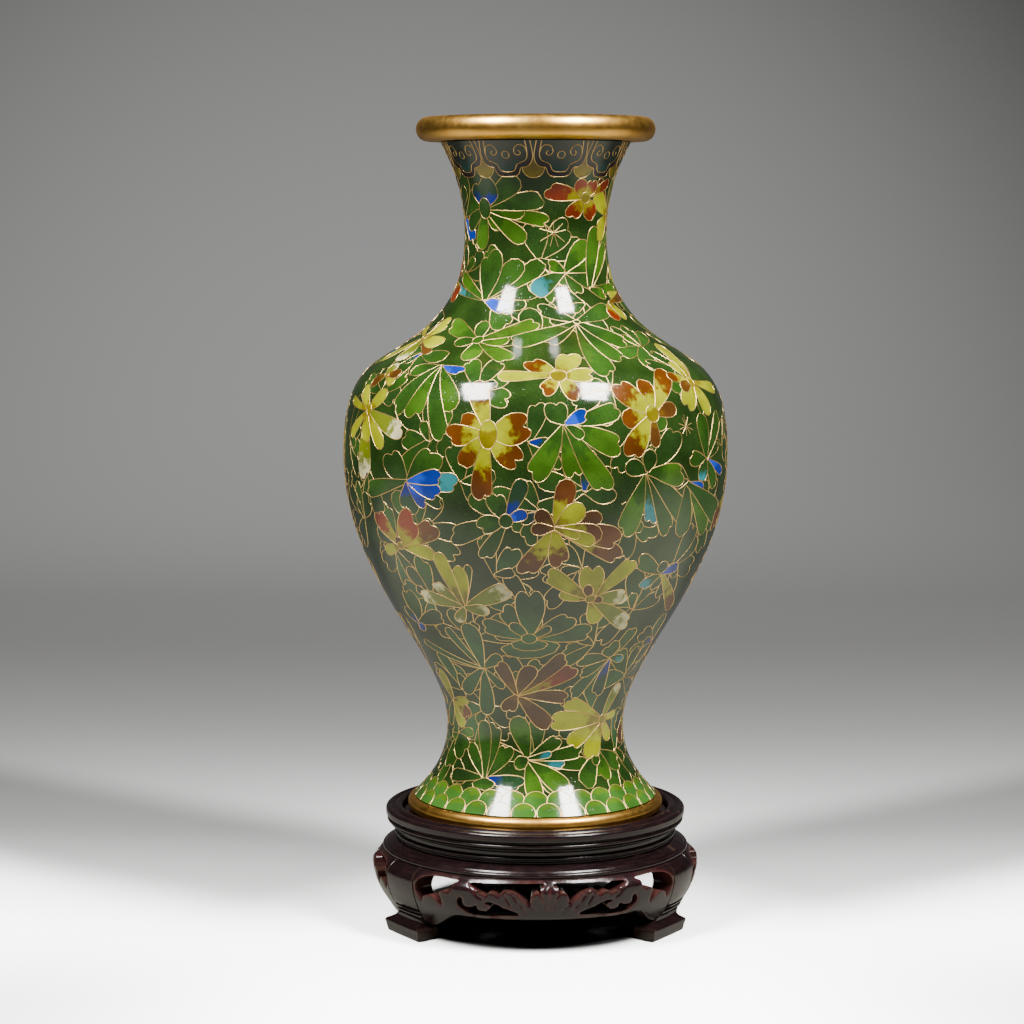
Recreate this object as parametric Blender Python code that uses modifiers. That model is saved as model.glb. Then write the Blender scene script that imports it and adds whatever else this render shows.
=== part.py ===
"""A cloisonne vase on a carved openwork wooden stand.

The vase is a brazed copper body of four sections, closed by a base plate,
with enamel fused to its outside, its inside and its underside, and gilt rings
at the mouth and the foot. It stands loose in the shallow tray of the stand.
The stand is a turned tray, waist and shoulder over three carved panels and
three legs.

Lengths below are in millimetres and angles in degrees. The origin is on the
vertical axis, level with the underside of the feet, and the front is -Y.
"""

import math

import bmesh
import bpy
from mathutils import Vector

MM = 0.001
TURN_STEPS = 28
MERGE = 0.00005
GAP = 0.3                    # between pieces that touch
SKIN_GAP = 0.2               # between an enamel skin and the copper under it

# Vase: the wall, from the outside in
ENAMEL = 0.9
COPPER = 1.2
COUNTER_ENAMEL = 0.5

# Vase: the outside of the enamel, from the lip to the foot (radius, height)
VASE_OUTLINE = [
    (28.3, 231.3), (25.2, 225.0), (22.4, 217.0), (20.8, 206.5), (21.1, 197.5), (22.9, 189.5),
    (26.3, 183.0), (31.3, 177.2), (37.3, 172.6), (43.7, 168.5), (48.7, 164.9), (52.8, 159.6),
    (55.3, 152.6), (56.5, 141.0), (55.6, 128.0), (52.1, 114.8), (46.2, 101.6), (38.7, 88.6),
    (31.6, 76.6), (27.2, 66.4), (26.1, 59.0), (27.3, 51.0), (30.9, 43.8), (37.2, 36.2),
]
VASE_TOP = 237.4
LIP_BOTTOM = 230.4
LIP_RADIUS = 34.9
MOUTH_RADIUS = 29.6
SHOULDER_TOP = 178.0         # seams between the copper sections
SHOULDER_BOTTOM = 138.0
WAIST_HEIGHT = 59.0
FOOT_RING_TOP = 37.5
FOOT_RING_RADIUS = 37.9
FOOT_RING_BORE = 31.0
BASE_PLATE_RADIUS = 32.0

# Stand
TRAY_TOP = 35.0
TRAY_FLOOR = 33.0
TRAY_BOTTOM = 29.1
RECESS_RADIUS = 39.5
TRAY_RADIUS = 44.5
SHOULDER_HEIGHT = 25.1
FRAME_TOP = 21.6             # top of the panels and legs
PANEL_COUNT = 3
PANEL_CENTRE = 4.5           # the carving sits a little round from the front
PANEL_HALF_ANGLE = 52.0
LEG_HALF_ANGLE = 8.0
PANEL_STEPS = 18
PANEL_INNER_RADIUS = 41.5
APRON_HEIGHT = 9.8
APRON_CORNER_HEIGHT = 5.4
TOE_ANGLE = -6.5             # the toes stand this far round from the legs' middles

# Outside of the panels (radius, height), from the top down to the apron's edge
PANEL_BULGE = [
    (45.6, 21.6), (47.6, 20.0), (48.5, 17.9), (48.0, 14.2), (46.4, 10.4), (44.6, 7.0), (43.8, 5.0),
]

# Openings of half a panel, as (angle from the middle of the carving, height)
SCROLL_OPENING = [
    (4.2, 20.0), (9.0, 20.7), (20.0, 20.7), (25.8, 19.9), (25.8, 17.9), (21.0, 17.1),
    (16.0, 17.9), (10.5, 16.3), (7.2, 14.0), (6.8, 17.2),
]
CRESCENT_OPENING = [
    (11.0, 12.0), (18.0, 11.5), (27.0, 11.7), (31.6, 13.0), (32.6, 15.6), (28.5, 14.2),
    (24.0, 14.7), (19.5, 13.9), (15.0, 14.6), (11.4, 14.1),
]
ROUND_OPENING = (41.5, 17.5, 8.0, 3.1)   # angle, height, half width, half height

# Sections of a leg: height, share of TOE_ANGLE, share of LEG_HALF_ANGLE, inner and outer radius
LEG_SECTIONS = [
    (21.6, 0.0, 1.0, 41.5, 45.6),
    (20.0, 0.0, 1.0, 41.5, 47.6),
    (17.9, 0.0, 1.0, 41.5, 48.5),
    (14.2, 0.0, 1.0, 41.5, 48.0),
    (10.4, 0.0, 1.0, 41.5, 46.4),
    (8.0, 0.0, 1.0, 41.0, 44.9),
    (5.3, 0.0, 1.0, 40.5, 43.6),
    (4.4, 0.6, 1.15, 40.0, 45.4),
    (3.4, 1.0, 1.4, 39.5, 46.4),
    (0.0, 1.0, 1.36, 39.0, 46.2),
]

GILT = ((0.83, 0.62, 0.30), 0.28, 1.0)
BARE_COPPER = ((0.62, 0.33, 0.20), 0.45, 1.0)
GREEN_ENAMEL = ((0.05, 0.16, 0.08), 0.12, 0.0)
TURQUOISE_ENAMEL = ((0.10, 0.42, 0.45), 0.2, 0.0)
ROSEWOOD = ((0.045, 0.014, 0.012), 0.35, 0.0)


def clear_scene():
    for old in list(bpy.data.objects):
        bpy.data.objects.remove(old, do_unlink=True)


def new_collection(name):
    collection = bpy.data.collections.new(name)
    bpy.context.scene.collection.children.link(collection)
    return collection


def new_material(name, look):
    color, roughness, metallic = look
    material = bpy.data.materials.new(name)
    material.use_nodes = True
    shader = material.node_tree.nodes["Principled BSDF"]
    shader.inputs["Base Color"].default_value = (*color, 1.0)
    shader.inputs["Roughness"].default_value = roughness
    shader.inputs["Metallic"].default_value = metallic
    return material


def add_object(name, mesh, collection, look=None):
    piece = bpy.data.objects.new(name, mesh)
    collection.objects.link(piece)
    if look is not None:
        mesh.materials.append(new_material(name, look))
    return piece


def turned(name, profile, collection, look, closed=True):
    """Turn a profile of (radius, height) points, which runs down its outer side."""
    mesh = bpy.data.meshes.new(name)
    count = len(profile)
    edges = [(i, (i + 1) % count) for i in range(count if closed else count - 1)]
    mesh.from_pydata([(r * MM, 0.0, z * MM) for r, z in profile], edges, [])
    piece = add_object(name, mesh, collection, look)
    screw = piece.modifiers.new("turn", "SCREW")
    screw.steps = TURN_STEPS
    screw.render_steps = TURN_STEPS
    screw.use_merge_vertices = True
    screw.merge_threshold = MERGE
    screw.use_smooth_shade = False
    return piece


def disc(name, radius, top, bottom, edge, collection, look):
    """A flat round plate whose rim is chamfered by edge."""
    profile = [
        (0.0, top), (radius - edge, top), (radius, top - edge),
        (radius, bottom + edge), (radius - edge, bottom), (0.0, bottom),
    ]
    return turned(name, profile, collection, look, closed=False)


def offset_outline(outline, depth):
    """Move each point of the vase's outline inward, square to the wall."""
    moved = []
    for i, (r, z) in enumerate(outline):
        before = outline[max(i - 1, 0)]
        after = outline[min(i + 1, len(outline) - 1)]
        run = Vector((after[0] - before[0], after[1] - before[1])).normalized()
        moved.append((r + run.y * depth, z - run.x * depth))
    return moved


def radius_at(line, height):
    for (r0, z0), (r1, z1) in zip(line, line[1:]):
        if z0 >= height >= z1:
            return r0 + (r1 - r0) * (z0 - height) / (z0 - z1)
    raise ValueError("height outside the line")


def clipped(line, top, bottom):
    """The stretch of a falling line between two heights, with its cut ends."""
    inside = [(r, z) for r, z in line if bottom + GAP < z < top - GAP]
    return [(radius_at(line, top), top), *inside, (radius_at(line, bottom), bottom)]


def wall(name, outer_depth, inner_depth, top, bottom, collection, look):
    """A shell of the vase's wall, between two depths below its outside."""
    outer = clipped(offset_outline(VASE_OUTLINE, outer_depth), top, bottom)
    inner = clipped(offset_outline(VASE_OUTLINE, inner_depth), top, bottom)
    return turned(name, outer + inner[::-1], collection, look)


def loft(name, sections):
    """A closed solid through a row of loops with the same number of points."""
    body = bmesh.new()
    loops = [[body.verts.new(point) for point in section] for section in sections]
    count = len(loops[0])
    for near, far in zip(loops, loops[1:]):
        for i in range(count):
            j = (i + 1) % count
            body.faces.new((near[i], near[j], far[j], far[i]))
    body.faces.new(loops[0][::-1])
    body.faces.new(loops[-1])
    bmesh.ops.recalc_face_normals(body, faces=body.faces)
    mesh = bpy.data.meshes.new(name)
    body.to_mesh(mesh)
    body.free()
    return mesh


def around(radius, degrees, height):
    """A point on the stand, at an angle round from the front, in metres."""
    angle = math.radians(degrees)
    return (radius * math.sin(angle) * MM, -radius * math.cos(angle) * MM, height * MM)


def smooth_loop(points, steps=2):
    """A closed curve through the points, with steps points to each stretch."""
    count = len(points)
    curve = []
    for i in range(count):
        p0, p1, p2, p3 = (Vector(points[(i + k) % count]) for k in (-1, 0, 1, 2))
        for s in range(steps):
            t = s / steps
            curve.append(
                p1 + 0.5 * t * (p2 - p0)
                + t * t * (p0 - 2.5 * p1 + 2.0 * p2 - 0.5 * p3)
                + 0.5 * t * t * t * (3.0 * p1 - 3.0 * p2 + p3 - p0)
            )
    return curve


def ellipse(angle, height, half_width, half_height, count=14):
    turns = [math.tau * i / count for i in range(count)]
    return [(angle + half_width * math.cos(t), height + half_height * math.sin(t)) for t in turns]


def opening_cutter(name, outline, side, collection):
    """A straight prism through the panel, square to it at the opening's middle."""
    middle = side * sum(angle for angle, _ in outline) / len(outline)
    outer_radius = PANEL_BULGE[2][0]
    loops = []
    for depth in (outer_radius + 6.0, PANEL_INNER_RADIUS - 8.0):
        loop = []
        for angle, height in outline:
            across = outer_radius * math.sin(math.radians(side * angle - middle))
            loop.append(Vector((across * MM, -depth * MM, height * MM)))
        loops.append(loop)
    cutter = add_object(name, loft(name, loops), collection)
    cutter.rotation_euler = (0.0, 0.0, math.radians(middle))
    cutter.hide_render = True
    cutter.display_type = "WIRE"
    return cutter


def apron_edge(angle):
    """Height of the panel's lower edge, which drops towards the legs."""
    share = min(max((abs(angle) - 30.0) / 18.0, 0.0), 1.0)
    fall = share * share * (3.0 - 2.0 * share)
    return APRON_HEIGHT + (APRON_CORNER_HEIGHT - APRON_HEIGHT) * fall


def panel_mesh(cutters):
    """One bulging panel, centred on the front, with its openings cut through."""
    reach = PANEL_HALF_ANGLE - math.degrees(0.5 * GAP / PANEL_BULGE[2][0])
    sections = []
    for step in range(PANEL_STEPS + 1):
        angle = -reach + 2.0 * reach * step / PANEL_STEPS
        edge = apron_edge(angle)
        face = [(r, z) for r, z in PANEL_BULGE if z > APRON_HEIGHT]
        face.append((radius_at(PANEL_BULGE, edge), edge))
        back = [(PANEL_INNER_RADIUS, edge), (PANEL_INNER_RADIUS, FRAME_TOP)]
        sections.append([around(r, angle, z) for r, z in face + back])
    blank = add_object("apron_blank", loft("apron_blank", sections), cutters)
    blank.hide_render = True
    openings = {
        "scroll": smooth_loop(SCROLL_OPENING),
        "crescent": smooth_loop(CRESCENT_OPENING),
        "round": ellipse(*ROUND_OPENING),
    }
    for label, outline in openings.items():
        for side in (-1, 1):
            cut = blank.modifiers.new(label, "BOOLEAN")
            cut.operation = "DIFFERENCE"
            cut.solver = "EXACT"
            cut.object = opening_cutter(f"{label}_cutter", outline, side, cutters)
    bpy.context.view_layer.update()
    finished = blank.evaluated_get(bpy.context.evaluated_depsgraph_get())
    return bpy.data.meshes.new_from_object(finished)


def leg_mesh():
    """One leg with its toe, centred on the front."""
    reach = LEG_HALF_ANGLE - math.degrees(0.5 * GAP / PANEL_BULGE[2][0])
    across = 4
    sections = []
    for height, turn, spread, inner, outer in LEG_SECTIONS:
        middle = turn * TOE_ANGLE
        half = reach * spread
        angles = [middle - half + 2.0 * half * i / across for i in range(across + 1)]
        loop = [around(outer, angle, height) for angle in angles]
        loop += [around(inner, angle, height) for angle in reversed(angles)]
        sections.append(loop)
    return loft("leg", sections)


def make_vase(parts):
    copper_depth = ENAMEL + SKIN_GAP
    copper_back = copper_depth + COPPER
    inner_depth = copper_back + SKIN_GAP
    inner_back = inner_depth + COUNTER_ENAMEL
    wall_top = LIP_BOTTOM - GAP
    wall_bottom = FOOT_RING_TOP + GAP

    throat = radius_at(offset_outline(VASE_OUTLINE, inner_back), wall_top)
    lip = [
        (MOUTH_RADIUS + 1.2, VASE_TOP), (LIP_RADIUS - 1.6, VASE_TOP),
        (LIP_RADIUS - 0.4, VASE_TOP - 0.5), (LIP_RADIUS, VASE_TOP - 1.6),
        (LIP_RADIUS, LIP_BOTTOM + 1.4), (LIP_RADIUS - 0.5, LIP_BOTTOM + 0.4),
        (LIP_RADIUS - 1.5, LIP_BOTTOM), (throat, LIP_BOTTOM),
        (throat + 2.2, LIP_BOTTOM + 4.0), (MOUTH_RADIUS, VASE_TOP - 0.9),
    ]
    turned("lip_ring", lip, parts, GILT)

    wall("outer_enamel", 0.0, ENAMEL, wall_top, wall_bottom, parts, GREEN_ENAMEL)
    seams = [
        ("neck_copper", wall_top, SHOULDER_TOP),
        ("shoulder_copper", SHOULDER_TOP, SHOULDER_BOTTOM),
        ("lower_copper", SHOULDER_BOTTOM, WAIST_HEIGHT),
        ("foot_copper", WAIST_HEIGHT, wall_bottom),
    ]
    for name, top, bottom in seams:
        seam_top = top if top == wall_top else top - GAP / 2
        seam_bottom = bottom if bottom == wall_bottom else bottom + GAP / 2
        wall(name, copper_depth, copper_back, seam_top, seam_bottom, parts, BARE_COPPER)

    plate_top = wall_bottom + COPPER
    skin_bottom = plate_top + GAP
    wall("inner_enamel", inner_depth, inner_back, wall_top, skin_bottom, parts, TURQUOISE_ENAMEL)
    disc("base_plate", BASE_PLATE_RADIUS, plate_top, wall_bottom, 0.2, parts, BARE_COPPER)
    disc("base_enamel", FOOT_RING_BORE - GAP, FOOT_RING_TOP, FOOT_RING_TOP - 0.7, 0.2,
         parts, TURQUOISE_ENAMEL)

    seat = TRAY_FLOOR + GAP
    foot = [
        (FOOT_RING_BORE + 0.4, FOOT_RING_TOP), (FOOT_RING_RADIUS - 1.0, FOOT_RING_TOP),
        (FOOT_RING_RADIUS - 0.2, FOOT_RING_TOP - 0.6), (FOOT_RING_RADIUS, FOOT_RING_TOP - 1.6),
        (FOOT_RING_RADIUS, seat + 1.2), (FOOT_RING_RADIUS - 0.6, seat + 0.3),
        (FOOT_RING_RADIUS - 1.4, seat), (FOOT_RING_BORE + 1.0, seat),
        (FOOT_RING_BORE, seat + 0.8), (FOOT_RING_BORE, FOOT_RING_TOP - 0.4),
    ]
    turned("foot_ring", foot, parts, GILT)


def make_stand_top(parts):
    rim = [
        (RECESS_RADIUS + 0.6, TRAY_TOP), (RECESS_RADIUS + 1.9, TRAY_TOP),
        (RECESS_RADIUS + 2.8, TRAY_TOP - 0.6), (TRAY_RADIUS - 0.9, TRAY_TOP - 0.3),
        (TRAY_RADIUS, TRAY_TOP - 0.9), (TRAY_RADIUS, TRAY_TOP - 2.8),
        (TRAY_RADIUS - 0.7, TRAY_TOP - 3.3), (TRAY_RADIUS - 0.3, TRAY_TOP - 4.2),
        (TRAY_RADIUS - 0.6, TRAY_TOP - 4.9), (TRAY_RADIUS - 1.4, TRAY_TOP - 5.2),
        (TRAY_RADIUS - 1.6, TRAY_BOTTOM), (RECESS_RADIUS, TRAY_BOTTOM),
        (RECESS_RADIUS, TRAY_TOP - 0.5),
    ]
    turned("tray_rim", rim, parts, ROSEWOOD)
    disc("tray_floor", RECESS_RADIUS - GAP, TRAY_FLOOR, TRAY_BOTTOM, 0.3, parts, ROSEWOOD)

    waist_top = TRAY_BOTTOM - GAP
    waist_bottom = SHOULDER_HEIGHT + GAP
    waist = [
        (41.3, waist_top), (41.3, 27.5), (41.9, 26.9), (41.3, 26.3), (41.5, waist_bottom),
        (36.0, waist_bottom), (36.0, waist_top),
    ]
    turned("waist_ring", waist, parts, ROSEWOOD)

    board_bottom = FRAME_TOP + GAP
    board = [
        (42.0, SHOULDER_HEIGHT), (44.3, 23.7), (45.3, 22.9), (45.5, 22.3), (45.2, board_bottom),
        (34.0, board_bottom), (34.0, SHOULDER_HEIGHT),
    ]
    turned("shoulder_board", board, parts, ROSEWOOD)


def make_stand_frame(parts, cutters):
    panel = panel_mesh(cutters)
    leg = leg_mesh()
    panel.materials.append(new_material("apron", ROSEWOOD))
    leg.materials.append(new_material("leg", ROSEWOOD))
    for number in range(PANEL_COUNT):
        turn = PANEL_CENTRE + 360.0 * number / PANEL_COUNT
        apron = add_object(f"apron_{number + 1}", panel, parts)
        apron.rotation_euler = (0.0, 0.0, math.radians(turn))
        post = add_object(f"leg_{number + 1}", leg, parts)
        post.rotation_euler = (0.0, 0.0, math.radians(turn + 180.0 / PANEL_COUNT))


def shade_round(parts):
    for piece in parts.objects:
        piece.data.shade_smooth()
        piece.data.set_sharp_from_angle(angle=math.radians(35.0))


def main():
    clear_scene()
    parts = new_collection("cloisonne_vase")
    cutters = new_collection("cutters")
    make_vase(parts)
    make_stand_top(parts)
    make_stand_frame(parts, cutters)
    shade_round(parts)


main()
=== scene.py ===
"""Looks of a cloisonne vase on its carved wooden stand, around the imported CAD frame.

The outside of the vase is one flat partition, drawn on the unrolled wall: petals, scales and
cloud heads divide it into cells. Every cell becomes a patch of enamel, and every line between
two cells becomes a gilt wire. Lengths are in millimetres and angles in degrees, until a point
is placed on the wall. Azimuth 0 is the front (-Y), and grows towards +X.
"""

import math
import random

import bpy
import numpy as np
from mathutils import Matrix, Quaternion, Vector
from mathutils.geometry import delaunay_2d_cdt


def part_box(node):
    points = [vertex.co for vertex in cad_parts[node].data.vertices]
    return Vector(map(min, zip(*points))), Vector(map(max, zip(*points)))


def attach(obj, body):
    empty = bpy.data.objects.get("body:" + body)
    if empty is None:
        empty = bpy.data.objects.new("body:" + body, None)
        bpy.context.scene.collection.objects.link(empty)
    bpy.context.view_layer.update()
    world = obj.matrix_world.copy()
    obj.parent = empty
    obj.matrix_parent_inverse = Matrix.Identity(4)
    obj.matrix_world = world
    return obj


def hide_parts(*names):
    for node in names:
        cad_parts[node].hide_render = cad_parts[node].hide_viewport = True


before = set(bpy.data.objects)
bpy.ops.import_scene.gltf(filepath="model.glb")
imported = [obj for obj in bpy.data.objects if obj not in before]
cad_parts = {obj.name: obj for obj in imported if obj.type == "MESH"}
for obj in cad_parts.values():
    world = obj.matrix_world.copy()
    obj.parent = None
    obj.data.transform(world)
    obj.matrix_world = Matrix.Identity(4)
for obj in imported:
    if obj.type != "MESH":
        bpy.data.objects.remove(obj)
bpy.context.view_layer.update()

MM = 0.001
SEED = 7

# Camera: 98 mm lens on a 36 mm sensor, a little left of the axis, looking 6.1 degrees down
LENS = 98.4
CAMERA_AT = (-0.0069, -0.8226, 0.2097)
CAMERA_PITCH = 6.1

TURN_STEPS = 288             # of the turned pieces
CELL = 2.0                   # grid of the enamel patches
FLAT_RADIUS = 40.0           # the unrolled wall is drawn as on a cylinder of this radius
WIRE_WIDTH = 0.24
WIRE_RISE = 0.07             # how far a wire stands proud of the enamel
WIRE_SPREAD = (0.9, 1.12)    # narrowest and widest wire, against that width
WIRE_STEP = 0.3              # points of a wire closer together than this are dropped

# Section of a wire: across it against its width, and up from the enamel against its rise
WIRE_SECTION = [(-0.5, -0.6), (-0.4, 0.45), (0.0, 1.0), (0.4, 0.45), (0.5, -0.6)]

# Pieces the enamel and its wires are split into, from the foot up (name, top height)
ZONES = [
    ("foot", 58.0), ("lower", 88.0), ("body", 118.0), ("belly", 147.0), ("shoulder", 172.0),
    ("neck", 205.0), ("throat", 240.0),
]


def display(red, green, blue):
    """A colour as a screen shows it, 0 to 255, made linear."""
    def linear(value):
        share = value / 255.0
        return share / 12.92 if share <= 0.04045 else ((share + 0.055) / 1.055) ** 2.4
    return (linear(red), linear(green), linear(blue))


def glass(red, green, blue):
    """The colour of an enamel: the light it gives back, in thousandths."""
    return (red * 0.001, green * 0.001, blue * 0.001)


# Enamels: colour at a petal's base, colour at its tip, where one turns into the other, speckle
ENAMELS = {
    "ground": (glass(14, 34, 5), glass(14, 34, 5), 0.5, 1.0),
    "moss": (glass(16, 44, 7), glass(13, 35, 6), 0.5, 0.8),
    "fern": (glass(16, 46, 7), glass(22, 64, 7), 0.5, 0.7),
    "lime": (glass(20, 60, 6), glass(38, 100, 6), 0.45, 0.6),
    "sun": (glass(285, 295, 1), glass(92, 27, 3), 0.52, 0.4),
    "red": (glass(225, 200, 1), glass(150, 20, 4), 0.45, 0.3),
    "gold": (glass(150, 120, 1), glass(275, 295, 2), 0.3, 0.4),
    "pale": (glass(120, 150, 6), glass(640, 600, 330), 0.78, 0.25),
    "rust": (glass(110, 56, 5), glass(70, 27, 5), 0.35, 0.45),
    "ink": (glass(5, 17, 165), glass(12, 38, 13), 0.4, 0.5),
    "cobalt": (glass(10, 50, 420), glass(4, 22, 210), 0.5, 0.3),
    "sea": (glass(18, 52, 9), glass(20, 165, 185), 0.6, 0.35),
    # a paler grey-green for low on the vase, whose paleness is partly a painted reflection of the bright
    # floor
    "haze": (glass(24, 84, 20), glass(18, 64, 15), 0.5, 0.5),
    "scale": (glass(38, 118, 16), glass(62, 132, 8), 0.45, 0.35),
    "band": (glass(14, 4, 4), glass(9, 3, 3), 0.5, 0.3),
    "cloud": (glass(8, 44, 34), glass(10, 22, 8), 0.45, 0.6),
    "olive": (glass(190, 140, 1), glass(70, 76, 4), 0.5, 0.5),
}

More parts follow.
